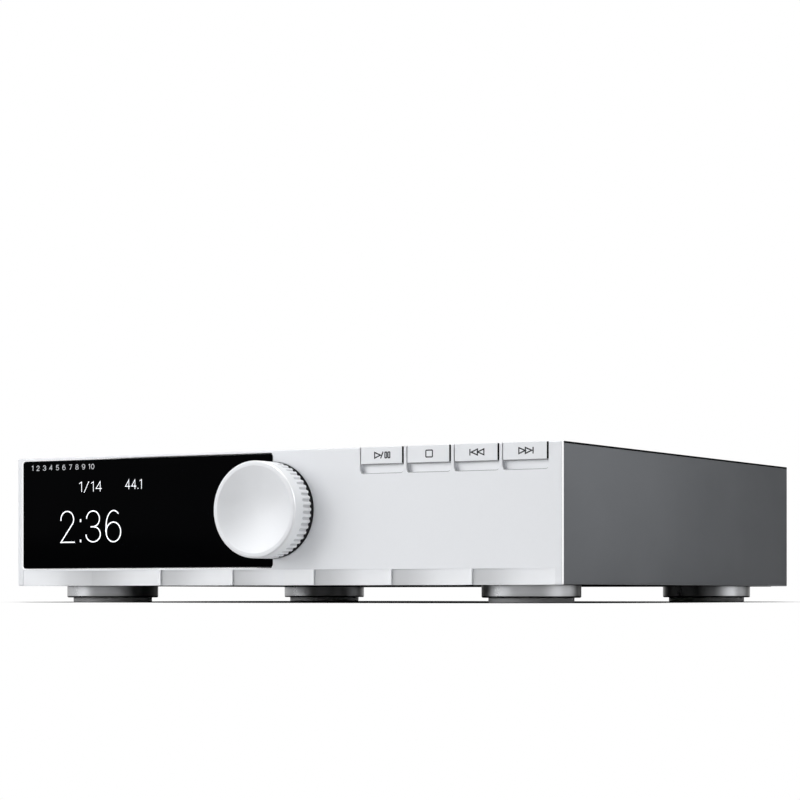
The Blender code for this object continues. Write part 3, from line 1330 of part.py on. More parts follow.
def deck_frame():
    """The steel deck with rod holders and the idler's axle."""
    bm = bmesh.new()
    low = (-DECK_HALF, BAY_Y - DECK_HALF, DECK_BOTTOM_Z)
    block(bm, low, (ROD_END + OVERRUN, BAY_Y + DECK_HALF, DECK_TOP_Z))
    deck = to_object("deck_frame", bm, steel())
    fittings = bmesh.new()
    for start in (ROD_START, ROD_END - ROD_HOLDER_LENGTH):
        for side in (-ROD_OFFSET, ROD_OFFSET):
            near = BAY_Y + side - ROD_HOLDER_WIDTH / 2
            low = (start, near, DECK_TOP_Z - FUSE_DEPTH)
            block(fittings, low, (start + ROD_HOLDER_LENGTH, near + ROD_HOLDER_WIDTH, SLED_TOP_Z))
    outline = circle((GEAR_X, IDLER_Y), AXLE_RADIUS, SMALL_SEGMENTS)
    prism(fittings, "Z", outline, DECK_TOP_Z - FUSE_DEPTH, DRIVE_TOP_Z + AXLE_PROUD)
    fuse(deck, fittings)
    holes = bmesh.new()
    rounds = [(place, ISOLATOR_WAIST_RADIUS) for place in post_places().values()]
    rounds.append(((0, BAY_Y), MOTOR_BOSS_RADIUS))
    rounds.append(((PINION_X, IDLER_Y), SLED_BOSS_RADIUS))
    for place, radius in rounds:
        outline = circle(place, radius + FIT_GAP, SMALL_SEGMENTS)
        prism(holes, "Z", outline, DECK_BOTTOM_Z - OVERRUN, DECK_TOP_Z + OVERRUN)
    cut(deck, holes)
    bores = bmesh.new()
    for side in (-ROD_OFFSET, ROD_OFFSET):
        outline = circle((BAY_Y + side, ROD_Z), ROD_RADIUS + FIT_GAP, SMALL_SEGMENTS)
        prism(bores, "X", outline, ROD_START - OVERRUN, ROD_END + OVERRUN)
    cut(deck, bores)


def guide_rods():
    for name, side in (("guide_rod_front", -ROD_OFFSET), ("guide_rod_rear", ROD_OFFSET)):
        bm = bmesh.new()
        outline = circle((BAY_Y + side, ROD_Z), ROD_RADIUS, SMALL_SEGMENTS)
        prism(bm, "X", outline, ROD_START + FIT_GAP, ROD_END - FIT_GAP)
        to_object(name, bm, steel())


def motor_can(name, place, size, boss_top, bore_radius):
    """A motor under the deck, its boss through the deck, its bore open above."""
    radius, height, boss_radius = size
    top = DECK_BOTTOM_Z - FIT_GAP
    bottom = top - height
    floor = bottom + MOTOR_FLOOR
    profile = [
        (0, bottom), (radius, bottom), (radius, top), (boss_radius, top), (boss_radius, boss_top),
        (bore_radius, boss_top), (bore_radius, floor), (0, floor),
    ]
    bm = bmesh.new()
    turn(bm, "Z", place, profile, MID_SEGMENTS)
    to_object(name, bm, steel())
    return floor


def spindle():
    """The turntable motor, and the hub with its shaft."""
    boss_top = DECK_TOP_Z + MOTOR_BOSS_PROUD
    bore = SPINDLE_RADIUS + FIT_GAP
    size = (MOTOR_RADIUS, MOTOR_HEIGHT, MOTOR_BOSS_RADIUS)
    floor = motor_can("spindle_motor", (0, BAY_Y), size, boss_top, bore)
    platform = DISC_Z - HUB_WALL
    cone_top = DISC_Z + HUB_CONE_HEIGHT
    stem_low = platform - HUB_STEM_HEIGHT
    profile = [
        (0, floor + FIT_GAP), (SPINDLE_RADIUS, floor + FIT_GAP), (SPINDLE_RADIUS, stem_low),
        (HUB_STEM_RADIUS, stem_low), (HUB_STEM_RADIUS, platform),
        (HUB_RADIUS, platform), (HUB_RADIUS, DISC_Z), (HUB_CONE_RADIUS, DISC_Z),
        (HUB_CONE_RADIUS - HUB_CONE_TAPER, cone_top), (0, cone_top),
    ]
    bm = bmesh.new()
    turn(bm, "Z", (0, BAY_Y), profile, MID_SEGMENTS)
    hub = to_object("spindle_hub", bm, black_plastic())
    place = (0, BAY_Y, DISC_Z)
    carry(axis_empty("spindle_axis", place), place, hub)


def gear_outline(centre, module, teeth, phase):
    """An involute gear seen along its axis, with a tooth at the phase angle."""
    pitch_radius = module * teeth / 2
    tip = pitch_radius + ADDENDUM_SHARE * module
    root = pitch_radius - DEDENDUM_SHARE * module
    base = pitch_radius * math.cos(PRESSURE_ANGLE)
    half_pitch = (math.pi * module / 2 - BACKLASH) / (2 * pitch_radius)
    involute = math.tan(PRESSURE_ANGLE) - PRESSURE_ANGLE
    flank = []
    for radius in (root, pitch_radius, tip):
        pressure = math.acos(min(1.0, base / radius))
        flank.append((radius, half_pitch + involute - (math.tan(pressure) - pressure)))
    points = []
    for tooth in range(teeth):
        middle = phase + math.tau * tooth / teeth
        sides = [(radius, middle - half) for radius, half in flank]
        sides += [(radius, middle + half) for radius, half in reversed(flank)]
        for radius, angle in sides:
            points.append((centre[0] + radius * math.cos(angle), centre[1] + radius * math.sin(angle)))
    return points


def rack_outline():
    """The sled's rack from above: a bar with teeth towards the idler."""
    pitch = math.pi * RACK_MODULE
    tip = RACK_PITCH_Y + ADDENDUM_SHARE * RACK_MODULE
    root = RACK_PITCH_Y - DEDENDUM_SHARE * RACK_MODULE
    slope = math.tan(PRESSURE_ANGLE)
    half = (pitch / 2 - BACKLASH) / 2
    half_tip = half - (tip - RACK_PITCH_Y) * slope
    half_root = half + (RACK_PITCH_Y - root) * slope
    last = GEAR_X + pitch * RACK_TEETH_AHEAD
    first = last - pitch * (RACK_TEETH - 1)
    left, right = first - pitch / 2, last + pitch / 2
    points = [(right, RACK_BACK_Y), (left, RACK_BACK_Y), (left, root)]
    for tooth in range(RACK_TEETH):
        middle = first + pitch * tooth
        points += [(middle - half_root, root), (middle - half_tip, tip)]
        points += [(middle + half_tip, tip), (middle + half_root, root)]
    points.append((right, root))
    return points


def sled():
    """The laser sled on its rods, with the rack beside it and the lens on top."""
    left, right = LENS_START - SLED_INNER, LENS_START + SLED_OUTER
    bm = bmesh.new()
    low = (left, BAY_Y - ROD_OFFSET, SLED_BOTTOM_Z)
    block(bm, low, (right, BAY_Y + ROD_OFFSET, SLED_TOP_Z))
    carriage = to_object("sled", bm, black_plastic())
    bushes = bmesh.new()
    bores = bmesh.new()
    for side in (-ROD_OFFSET, ROD_OFFSET):
        centre = (BAY_Y + side, ROD_Z)
        prism(bushes, "X", circle(centre, BUSH_RADIUS, MID_SEGMENTS), left, right)
        outline = circle(centre, ROD_RADIUS + FIT_GAP, SMALL_SEGMENTS)
        prism(bores, "X", outline, left - OVERRUN, right + OVERRUN)
    fuse(carriage, bushes)
    arm = bmesh.new()
    low = (left, BAY_Y + ROD_OFFSET + BUSH_RADIUS / 2, RACK_BOTTOM_Z)
    block(arm, low, (right, RACK_BACK_Y + FUSE_DEPTH, RACK_TOP_Z))
    fuse(carriage, arm)
    rack = bmesh.new()
    prism(rack, "Z", rack_outline(), RACK_BOTTOM_Z, RACK_TOP_Z)
    fuse(carriage, rack)
    cut(carriage, bores)
    place = (LENS_START, BAY_Y, SLED_TOP_Z)
    slide = axis_empty("sled_axis", place)
    carry(slide, place, carriage)
    lens_bottom = SLED_TOP_Z + LENS_FLOAT
    holder_top = lens_bottom + LENS_HOLDER_HEIGHT
    profile = [(0, lens_bottom), (LENS_HOLDER_RADIUS, lens_bottom), (LENS_HOLDER_RADIUS, holder_top)]
    for share in LENS_SHARES:
        profile.append((LENS_RADIUS * share, holder_top + LENS_HEIGHT * (1 - share * share)))
    bm = bmesh.new()
    turn(bm, "Z", (LENS_START, BAY_Y), profile, MID_SEGMENTS)
    lens_place = (LENS_START, BAY_Y, lens_bottom)
    focus = axis_empty("lens_axis", lens_place, slide, place)
    carry(focus, lens_place, to_object("lens_holder", bm, smoked_glass()))


def sled_drive():
    """The sled's motor, its pinion and the stepped idler that moves the rack."""
    centre = (GEAR_X, IDLER_Y)
    bm = bmesh.new()
    phase = -math.pi / 2 + math.pi / IDLER_SMALL_TEETH
    outline = gear_outline(centre, RACK_MODULE, IDLER_SMALL_TEETH, phase)
    prism(bm, "Z", outline, SLED_BOTTOM_Z, DRIVE_BOTTOM_Z + FUSE_DEPTH)
    idler = to_object("idler_gear", bm, white_plastic())
    large = bmesh.new()
    outline = gear_outline(centre, DRIVE_MODULE, IDLER_LARGE_TEETH, math.pi)
    prism(large, "Z", outline, DRIVE_BOTTOM_Z, DRIVE_TOP_Z)
    fuse(idler, large)
    hole = bmesh.new()
    outline = circle(centre, AXLE_RADIUS + FIT_GAP, SMALL_SEGMENTS)
    prism(hole, "Z", outline, SLED_BOTTOM_Z - OVERRUN, DRIVE_TOP_Z + OVERRUN)
    cut(idler, hole)
    place = (GEAR_X, IDLER_Y, DRIVE_BOTTOM_Z)
    carry(axis_empty("idler_axis", place), place, idler)
    boss_top = DECK_TOP_Z + SLED_CLEARANCE
    bore = SLED_SHAFT_RADIUS + FIT_GAP
    size = (SLED_MOTOR_RADIUS, SLED_MOTOR_HEIGHT, SLED_BOSS_RADIUS)
    floor = motor_can("sled_motor", (PINION_X, IDLER_Y), size, boss_top, bore)
    bm = bmesh.new()
    outline = gear_outline((PINION_X, IDLER_Y), DRIVE_MODULE, PINION_TEETH, math.pi / PINION_TEETH)
    prism(bm, "Z", outline, DRIVE_BOTTOM_Z, DRIVE_TOP_Z)
    pinion = to_object("sled_pinion", bm, white_plastic())
    shaft = bmesh.new()
    outline = circle((PINION_X, IDLER_Y), SLED_SHAFT_RADIUS, SMALL_SEGMENTS)
    prism(shaft, "Z", outline, floor + FIT_GAP, DRIVE_TOP_Z + FUSE_DEPTH)
    fuse(pinion, shaft)
    place = (PINION_X, IDLER_Y, DRIVE_BOTTOM_Z)
    carry(axis_empty("pinion_axis", place), place, pinion)


def mechanism():
    posts_and_isolators()
    deck_frame()
    guide_rods()
    spindle()
    sled()
    sled_drive()


def main():
    clear_scene()
    base_tray()
    feet()
    top_cover()
    front_panel()
    display_window()
    display_module()
    knob_and_encoder()
    keys()
    key_board()
    electronics()
    rear_panel()
    mains_inlet()
    mains_switch()
    jacks()
    bay_liner()
    lid()
    mechanism()


main()
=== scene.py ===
"""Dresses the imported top-loading disc player and lights it in a plain studio.

X runs to the right, Y to the back and Z up, in metres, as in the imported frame.
Every piece is built here from its sizes and rides on the body that moves it.
"""

from __future__ import annotations

import logging
import math
from dataclasses import dataclass, field, replace
from enum import Enum
from typing import Callable, Iterable, Sequence

import bmesh
import bpy
from mathutils import Matrix, Vector


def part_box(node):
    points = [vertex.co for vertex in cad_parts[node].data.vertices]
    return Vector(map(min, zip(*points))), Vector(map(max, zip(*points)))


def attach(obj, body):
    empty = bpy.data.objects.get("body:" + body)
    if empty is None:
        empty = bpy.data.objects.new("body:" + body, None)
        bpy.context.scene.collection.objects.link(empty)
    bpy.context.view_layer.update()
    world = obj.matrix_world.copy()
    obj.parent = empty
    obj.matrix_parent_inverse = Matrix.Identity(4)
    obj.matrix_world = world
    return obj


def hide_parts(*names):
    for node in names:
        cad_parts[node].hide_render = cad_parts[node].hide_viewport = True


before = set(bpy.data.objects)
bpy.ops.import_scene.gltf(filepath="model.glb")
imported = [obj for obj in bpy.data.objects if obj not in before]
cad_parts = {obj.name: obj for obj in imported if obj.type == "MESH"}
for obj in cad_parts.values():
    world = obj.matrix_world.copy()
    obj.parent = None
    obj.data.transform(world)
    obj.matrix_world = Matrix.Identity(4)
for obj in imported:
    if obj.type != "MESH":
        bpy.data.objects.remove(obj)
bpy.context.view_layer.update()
MM = 0.001
# Mesh attribute that holds the facets' painted light and shade.
PAINTED_SHADING = "painted_shading"
FLAT_AREA = 25.0 * MM * MM
CREASE = 32.0
EDGE_REACH = 0.25 * MM
OVERRUN = 1.0 * MM
LID_GAP = 0.4 * MM
LID_CORNER = 6.0 * MM
HINGE_RADIUS = 4.0 * MM
PIN_BORE = 1.8 * MM
NOTCH_RADIUS = 12.0 * MM
KEY_FRONT = 6.7 * MM
KEY_STEM = 10.3 * MM
BUSHING_BORE = 4.8 * MM
WINDOW_END = -0.31 * MM
WINDOW_CORNER = 1.0 * MM
CORNERS = ("front_left", "front_right", "rear_left", "rear_right")

Colour = tuple[float, float, float]
Pair = tuple[float, float]
Pairs = tuple[Pair, ...]
Outline = list[Pair]
Place = tuple[float, float, float]
Ring = tuple[float, float, float, float]
Line = tuple[str, Pair, Pair, float, float]
Lamp = tuple[str, Place, float, float]
Node = bpy.types.Node
Socket = bpy.types.NodeSocket
Piece = bpy.types.Object
Test = Callable[[Vector, Vector], bool]

log = logging.getLogger("disc_player")


class Axis(Enum):
    """Axis that an outline is extruded along; its value is (across, up, along)."""

    X = (1, 2, 0)
    Y = (0, 2, 1)
    Z = (0, 1, 2)


class Icon(Enum):
    """Sign printed on a key; its value is the key's node and body."""

    PLAY_PAUSE = "key_play"
    STOP = "key_stop"
    PREVIOUS = "key_previous"
    NEXT = "key_next"


# ---- Finishes


class Graph:
    """The node tree of a material or world, with short calls that add and wire nodes."""

    def __init__(self, owner: bpy.types.Material | bpy.types.World, shader: str = "Principled BSDF") -> None:
        """Open a node tree.

        Args:
            owner: Material or world that holds the tree.
            shader: Name of the tree's first shader.
        """
        owner.use_nodes = True
        self.tree = owner.node_tree
        self.shader = self.tree.nodes[shader]

    def node(self, kind: str, **settings: object) -> Node:
        """Add a node.

        Args:
            kind: Blender's name of the node type.
            **settings: Attributes to set on the node.

        Returns:
            The new node.
        """
        made = self.tree.nodes.new(kind)
        for name, value in settings.items():
            setattr(made, name, value)
        return made

    def feed(self, made: Node, *values: object, **inputs: object) -> Node:
        """Set or link a node's inputs.

        Args:
            made: Node to feed.
            *values: Sockets to link from, or plain values, for its first inputs.
            **inputs: The same by the input's name, with _ for a space.

        Returns:
            The same node.
        """
        pairs = list(zip(made.inputs, values))
        pairs += [(made.inputs[name.replace("_", " ")], value) for name, value in inputs.items()]
        for socket, value in pairs:
            if isinstance(value, Socket):
                self.tree.links.new(value, socket)
            else:
                socket.default_value = value
        return made

    def place(self) -> Socket:
        """Return the object's own coordinates."""
        found = self.tree.nodes.get("Texture Coordinate") or self.node("ShaderNodeTexCoord")
        return found.outputs["Object"]

    def stretched(self, stretch: Place) -> Socket:
        """Return the object's coordinates, scaled along each axis."""
        made = self.node("ShaderNodeMapping")
        return self.feed(made, Vector=self.place(), Scale=stretch).outputs["Vector"]

    def noise(self, scale: float, detail: float = 3.0, stretch: Place = (1, 1, 1)) -> Socket:
        """Return a fractal noise from 0 to 1, by features per metre, octaves and stretch."""
        made = self.node("ShaderNodeTexNoise")
        return self.feed(made, Vector=self.stretched(stretch), Scale=scale, Detail=detail).outputs["Fac"]

    def span(self, value: Socket, low: float, high: float, start: float = 0.3, end: float = 0.7) -> Socket:
        """Return a value mapped from start and end to low and high, clamped."""
        ranges = {"From_Min": start, "From_Max": end, "To_Min": low, "To_Max": high}
        return self.feed(self.node("ShaderNodeMapRange"), Value=value, **ranges).outputs["Result"]

    def combine(self, first: Socket, second: Socket | float, operation: str = "ADD") -> Socket:
        """Return two values combined by a Math operation."""
        return self.feed(self.node("ShaderNodeMath", operation=operation), first, second).outputs["Value"]

    def tint(self, factor: Socket, first: Colour, second: Colour) -> Socket:
        """Return two colours blended by the factor."""
        ramp = self.node("ShaderNodeValToRGB")
        for stop, colour in zip(ramp.color_ramp.elements, (first, second)):
            stop.color = (*colour, 1.0)
        return self.feed(ramp, Fac=factor).outputs["Color"]

    def relief(self, height: Socket, depth: float) -> None:
        """Bump the shader's surface by a height from 0 to 1, to a depth in metres."""
        bump = self.feed(self.node("ShaderNodeBump"), Height=height, Distance=depth)
        self.feed(self.shader, Normal=bump.outputs["Normal"])

    def edges(self) -> Socket:
        """Return a mask that is 1 next to sharp edges and 0 elsewhere."""
        shape = self.node("ShaderNodeNewGeometry")
        bevel = self.feed(self.node("ShaderNodeBevel", samples=3), Radius=EDGE_REACH)
        turned = self.node("ShaderNodeVectorMath", operation="DOT_PRODUCT")
        self.feed(turned, shape.outputs["Normal"], bevel.outputs["Normal"])
        return self.span(turned.outputs["Value"], 1.0, 0.0, 0.8, 0.98)

    def seen(self) -> Socket:
        """Return 1 for rays from the camera, off a gloss and through glass, else 0."""
        path = self.node("ShaderNodeLightPath").outputs
        direct = self.combine(path["Is Camera Ray"], path["Is Glossy Ray"], "MAXIMUM")
        return self.combine(direct, path["Is Transmission Ray"], "MAXIMUM")


def lighter(colour: Colour, share: float) -> Colour:
    """Return the colour scaled by a share, kept at or under white."""
    return tuple(min(1.0, part * share) for part in colour)


@dataclass(frozen=True)
class Finish:
    """A surface finish with cloudy colour, uneven polish, fine grain and worn edges.

    The fields are the finish's name, the record's slot, its colour and shader
    numbers, then the scale per metre and strength of each kind of detail.
    """

    name: str
    slot: str
    colour: Colour
    roughness: float = 0.4
    metallic: float = 0.0
    specular: float = 0.5
    cloud: float = 0.05
    cloud_scale: float = 18.0
    polish: float = 0.06
    grain: float = 4000.0
    grain_stretch: Place = (1, 1, 1)
    depth: float = 0.01 * MM
    wear: float = 0.0

    def material(self) -> bpy.types.Material:
        """Return this finish's material, made on first use."""
        name = f"{self.name}_finish"
        if name not in bpy.data.materials:
            self.dress(Graph(bpy.data.materials.new(name)))
        return bpy.data.materials[name]

    def dress(self, graph: Graph) -> None:
        """Wire the shader for this finish.

        Args:
            graph: The new material's graph.
        """
        clouds = graph.noise(self.cloud_scale)
        pale, deep = lighter(self.colour, 1 + self.cloud), lighter(self.colour, 1 - self.cloud)
        shade = graph.tint(clouds, deep, pale)
        fine = graph.noise(self.grain, 2.0, self.grain_stretch)
        low, high = self.roughness - self.polish, self.roughness + self.polish
        rough = graph.span(graph.noise(self.cloud_scale * 3, 4.0), low, high)
        if self.wear > 0:
            shade = self.worn(graph, shade)
        graph.feed(
            graph.shader, Base_Color=shade, Roughness=rough, Metallic=self.metallic,
            Specular_IOR_Level=self.specular,
        )
        graph.relief(self.height(graph, fine), self.depth)
        self.extra(graph)

    def worn(self, graph: Graph, shade: Socket) -> Socket:
        """Brighten the colour at worn edges.

        Args:
            graph: The material's graph.
            shade: Colour of the faces.

        Returns:
            The colour with its edges.
        """
        mix = graph.node("ShaderNodeMix", data_type="RGBA")
        graph.feed(mix, Factor=graph.combine(graph.edges(), graph.noise(400.0), "MULTIPLY"))
        graph.tree.links.new(shade, mix.inputs[6])
        mix.inputs[7].default_value = (*lighter(self.colour, 1 + self.wear), 1.0)
        return mix.outputs[2]

    def height(self, graph: Graph, fine: Socket) -> Socket:
        """Return the bump's height; a finish with a pattern adds to the grain."""
        return fine

    def extra(self, graph: Graph) -> None:
        """Add what a special finish needs."""


@dataclass(frozen=True)
class TurnedFinish(Finish):
    """Metal turned on a lathe, with fine rings about the piece's own axis."""

    axis: Axis = Axis.Z
    rings: float = 9000.0

    def height(self, graph: Graph, fine: Socket) -> Socket:
        """Return the rings and the grain together."""
        keep = tuple(float(place != self.axis.value[2]) for place in range(3))
        size = graph.feed(graph.node("ShaderNodeVectorMath", operation="LENGTH"), graph.stretched(keep))
        wave = graph.combine(graph.combine(size.outputs["Value"], self.rings, "MULTIPLY"), 0.0, "SINE")
        return graph.combine(graph.combine(wave, 0.25, "MULTIPLY"), fine)


@dataclass(frozen=True)
class PaintedShadingFinish(Finish):
    """A finish whose colour is scaled by painted light and shade stored on the mesh's corners."""

    def extra(self, graph: Graph) -> None:
        """Scale the colour by the painted light and shade stored on the mesh."""
        painted_shading = graph.node("ShaderNodeAttribute", attribute_name=PAINTED_SHADING)
        plain = graph.shader.inputs["Base Color"].links[0].from_socket
        mix = graph.node("ShaderNodeVectorMath", operation="SCALE")
        graph.feed(mix, Vector=plain, Scale=painted_shading.outputs["Fac"])
        graph.feed(graph.shader, Base_Color=mix.outputs["Vector"])


@dataclass(frozen=True)
class PaintedReflectionFinish(TurnedFinish):
    """Turned metal with painted reflections: bright and dark sectors round its axis, set into its colour."""

    painted_reflections: Pairs = ()

    def extra(self, graph: Graph) -> None:
        """Paint the reflections into the metal's colour by its angle about the axis."""
        place = graph.feed(graph.node("ShaderNodeSeparateXYZ"), Vector=graph.place())
        angle = graph.combine(place.outputs["Y"], place.outputs["X"], "ARCTAN2")
        turn = graph.combine(graph.combine(angle, math.tau, "DIVIDE"), 0.5)
        shaken = graph.combine(turn, graph.span(graph.noise(120.0), -0.006, 0.006))
        ramp = graph.feed(graph.node("ShaderNodeValToRGB"), Fac=shaken)
        ramp.color_ramp.interpolation = "EASE"
        stops = ramp.color_ramp.elements
        for number, (share, level) in enumerate(self.painted_reflections):
            stop = stops[number] if number < 2 else stops.new(share)
            stop.position, stop.color = share, (level * 0.985, level, level * 1.03, 1.0)
        graph.feed(graph.shader, Base_Color=ramp.outputs["Color"])


@dataclass(frozen=True)
class GlassFinish(Finish):
    """Smoked glass that shows what is behind it."""

    def extra(self, graph: Graph) -> None:
        """Let light through, with clear glass's index."""
        graph.feed(graph.shader, Transmission_Weight=0.9, IOR=1.45)


@dataclass(frozen=True)
class LitFinish(Finish):
    """Segments of a lit display."""

    strength: float = 0.9

    def extra(self, graph: Graph) -> None:
        """Make the segments shine a little unevenly."""
        glow = graph.tint(graph.noise(900.0), lighter(self.colour, 0.9), self.colour)
        graph.feed(graph.shader, Emission_Color=glow, Emission_Strength=self.strength)


@dataclass(frozen=True)
class BoardFinish(Finish):
    """Solder resist over copper tracks."""

    def extra(self, graph: Graph) -> None:
        """Draw pale tracks across the board."""
        tracks = graph.node("ShaderNodeTexBrick", offset=0.37, squash=1.6)
        dark, dim, bright = ((*lighter(self.colour, share), 1.0) for share in (1.0, 0.85, 1.7))
        graph.feed(tracks, Vector=graph.place(), Scale=90.0, Mortar_Size=0.02)
        graph.feed(tracks, Color1=dark, Color2=dim, Mortar=bright)
        graph.feed(graph.shader, Base_Color=tracks.outputs["Color"])


@dataclass(frozen=True)
class FloorFinish(Finish):
    """A ground that looks white but keeps a soft shadow where little sky is open."""

    reach: float = 0.12
    samples: int = 16
    shadow: Pair = (0.585, 0.73)

    def dress(self, graph: Graph) -> None:
        """Glow for the eye and stay plain for the lamps.

        Args:
            graph: The new material's graph.
        """
        plain = graph.feed(
            graph.shader, Base_Color=(*self.colour, 1.0), Roughness=self.roughness,
            Specular_IOR_Level=self.specular,
        )
        near = graph.node("ShaderNodeAmbientOcclusion", samples=self.samples)
        graph.feed(near, Distance=self.reach)
        open_sky = graph.span(near.outputs["AO"], 0.0, 1.0, *self.shadow)
        glow = graph.feed(graph.node("ShaderNodeEmission"), Strength=open_sky)
        mix = graph.feed(graph.node("ShaderNodeMixShader"), graph.seen(), plain.outputs[0], glow.outputs[0])
        graph.feed(graph.tree.nodes["Material Output"], Surface=mix.outputs[0])


SILVER = {
    "roughness": 0.42, "metallic": 0.15, "cloud": 0.012, "polish": 0.04, "grain": 5200.0,
    "depth": 0.006 * MM,
}
SATIN = Finish("satin_silver", "satin_silver", (0.78, 0.795, 0.822), cloud_scale=7.0, wear=0.2, **SILVER)
KEY_SATIN = replace(SATIN, name="key_silver", colour=(0.79, 0.805, 0.832), cloud_scale=30.0)
# Lighter silver for the facets, scaled by painted light and shade: darker at each deep end, lighter towards
# the crest.
FACET_PAINTED_SHADING = PaintedShadingFinish("facet_silver_painted_shading", "satin_silver", (0.85, 0.865, 0.89), cloud_scale=7.0, **SILVER)
# Lighter, shinier silver on the scoops' back walls: painted light where the keys shade them.
SCOOP_SATIN_PAINTED_LIGHT = replace(KEY_SATIN, name="scoop_silver_painted_light", colour=(0.84, 0.855, 0.88), metallic=0.3, wear=0.0)
# Dark grey on the scoops' lower edges and under the keys' fronts: painted shade.
PAINTED_SHADE_GREY = Finish(
    "painted_shade_grey", "satin_silver", (0.3, 0.305, 0.315), 0.5, 0.0, 0.1, cloud=0.03, grain=2600.0,
    depth=0.004 * MM,
)
# Lighter, mirror-like silver on the cut edges and the window's bevel: a painted highlight.
CUT_EDGE_PAINTED_HIGHLIGHT = Finish(
    "cut_edge_painted_highlight", "satin_silver", (0.97, 0.975, 0.985), 0.22, 1.0, cloud=0.01, polish=0.04, grain=2600.0,
    depth=0.002 * MM,
)
# Bright, mirror-like metal on the rim's outer rounding: a painted highlight.
KNOB_EDGE_PAINTED_HIGHLIGHT = TurnedFinish(
    "knob_edge_painted_highlight", "knob_metal", (0.93, 0.94, 0.955), 0.35, 0.5, cloud=0.01, grain=2600.0, depth=0.002 * MM,
    axis=Axis.Y,
)
# Lighter copy of the knob metal for its side band: painted light.
KNOB_SIDE_PAINTED_LIGHT = TurnedFinish(
    "knob_side_painted_light", "knob_metal", (0.93, 0.945, 0.965), cloud_scale=40.0, wear=0.1, axis=Axis.Y, **SILVER,
)
# Darker metal on the flutes' floors: painted shade.
KNOB_GROOVE_PAINTED_SHADE = TurnedFinish(
    "knob_groove_painted_shade", "knob_metal", (0.68, 0.69, 0.71), 0.5, 0.1, cloud=0.02, grain=2600.0, depth=0.004 * MM,
    axis=Axis.Y,
)
# The knob's plain metal, copied from the side finish with its own darker colour.
KNOB_METAL = replace(KNOB_SIDE_PAINTED_LIGHT, name="knob_metal", colour=(0.8, 0.815, 0.84), cloud=0.015, wear=0.15)
GRAPHITE = Finish(
    "graphite_paint", "graphite_paint", (0.136, 0.143, 0.153), 0.6, 0.0, 0.14, cloud=0.04,
    cloud_scale=9.0, grain=2600.0, depth=0.03 * MM, wear=0.5,
)
# Lighter, mirror-like graphite on the cover's lower chamfers: a painted highlight.
GRAPHITE_EDGE_PAINTED_HIGHLIGHT = Finish(
    "graphite_edge_painted_highlight", "graphite_paint", (0.2, 0.205, 0.215), 0.4, 1.0, cloud=0.04, grain=2600.0,
    depth=0.01 * MM,
)
# Black paint that stands in for shade: the key slots' walls, the keys' sides, the tray, its ridge and the
# lines along the top edges.
PAINTED_SHADE_BLACK = Finish(
    "painted_shade_black", "graphite_paint", (0.006, 0.006, 0.007), 0.6, 0.0, 0.0, grain=2600.0, depth=0.02 * MM,
)
STEEL = Finish(
    "plated_steel", "plated_steel", (0.6, 0.6, 0.62), 0.28, 1.0, cloud=0.06, cloud_scale=50.0,
    grain=900.0, grain_stretch=(1, 8, 1), depth=0.01 * MM, wear=0.2,
)
SCREW_STEEL = TurnedFinish(
    "screw_black", "plated_steel", (0.1, 0.1, 0.105), 0.32, 0.9, cloud=0.1, cloud_scale=200.0,
    grain=3000.0, depth=0.01 * MM, wear=1.5,
)
GOLD = TurnedFinish(
    "gold_plate", "gold_plate", (0.83, 0.61, 0.27), 0.2, 1.0, cloud=0.05, cloud_scale=90.0,
    polish=0.05, grain=2500.0, depth=0.008 * MM, wear=0.2, axis=Axis.Y,
)
WINDOW_BLACK = Finish(
    "window_black", "window_black", (0.0004, 0.0005, 0.0008), 0.07, 0.0, 0.006, cloud=0.3,
    cloud_scale=12.0, polish=0.03, grain=700.0, depth=0.001 * MM,
)
BLACK_PLASTIC = Finish(
    "black_plastic", "black_plastic", (0.02, 0.02, 0.022), 0.46, 0.0, cloud=0.15, cloud_scale=25.0,
    grain=3200.0, depth=0.02 * MM, wear=0.8,
)
IVORY = Finish(
    "ivory_plastic", "ivory_plastic", (0.7, 0.69, 0.63), 0.42, 0.0, cloud=0.04, cloud_scale=60.0,
    grain=2500.0, depth=0.01 * MM, wear=0.15,
)
RED_PLASTIC = Finish("red_ring", "black_plastic", (0.5, 0.02, 0.02), 0.4, grain=2500.0)
WHITE_PLASTIC = Finish("white_ring", "ivory_plastic", (0.75, 0.75, 0.73), 0.4, grain=2500.0)
ORANGE_PLASTIC = Finish("orange_ring", "black_plastic", (0.75, 0.2, 0.02), 0.4, grain=2500.0)
BOARD = BoardFinish("circuit_board", "circuit_board", (0.02, 0.14, 0.06), 0.35, 0.0, grain=3000.0)
RUBBER = Finish(
    "grey_rubber", "grey_rubber", (0.6, 0.605, 0.615), 0.6, 0.22, 0.3, cloud=0.12, cloud_scale=80.0,
    grain=2200.0, depth=0.03 * MM, wear=0.2,
)
# Template for the feet's metal, whose colour holds painted reflections.
SPUN_METAL_PAINTED_REFLECTIONS = PaintedReflectionFinish(
    "spun_metal", "spun_metal", (0.5, 0.5, 0.5), 0.3, 1.0, polish=0.05, grain=3000.0,
    grain_stretch=(1, 1, 6), depth=0.008 * MM,
)
SMOKED = GlassFinish(
    "smoked_glass", "smoked_glass", (0.12, 0.12, 0.125), 0.03, 0.0, cloud=0.03, polish=0.01,
    grain=500.0, depth=0.001 * MM,
)
LENS = replace(SMOKED, name="lens_glass", slot="lens_glass", colour=(0.3, 0.42, 0.75), roughness=0.02)
SEGMENTS_LIT = LitFinish("display_lit", "window_black", (0.93, 0.95, 1.0), 0.5, grain=900.0)
SEGMENTS_DIM = replace(SEGMENTS_LIT, name="display_dim", colour=(0.5, 0.51, 0.53), strength=0.42)
KEY_INK = Finish(
    "key_ink", "black_plastic", (0.035, 0.036, 0.04), 0.6, 0.0, 0.2, grain=6000.0, depth=0.004 * MM,
)
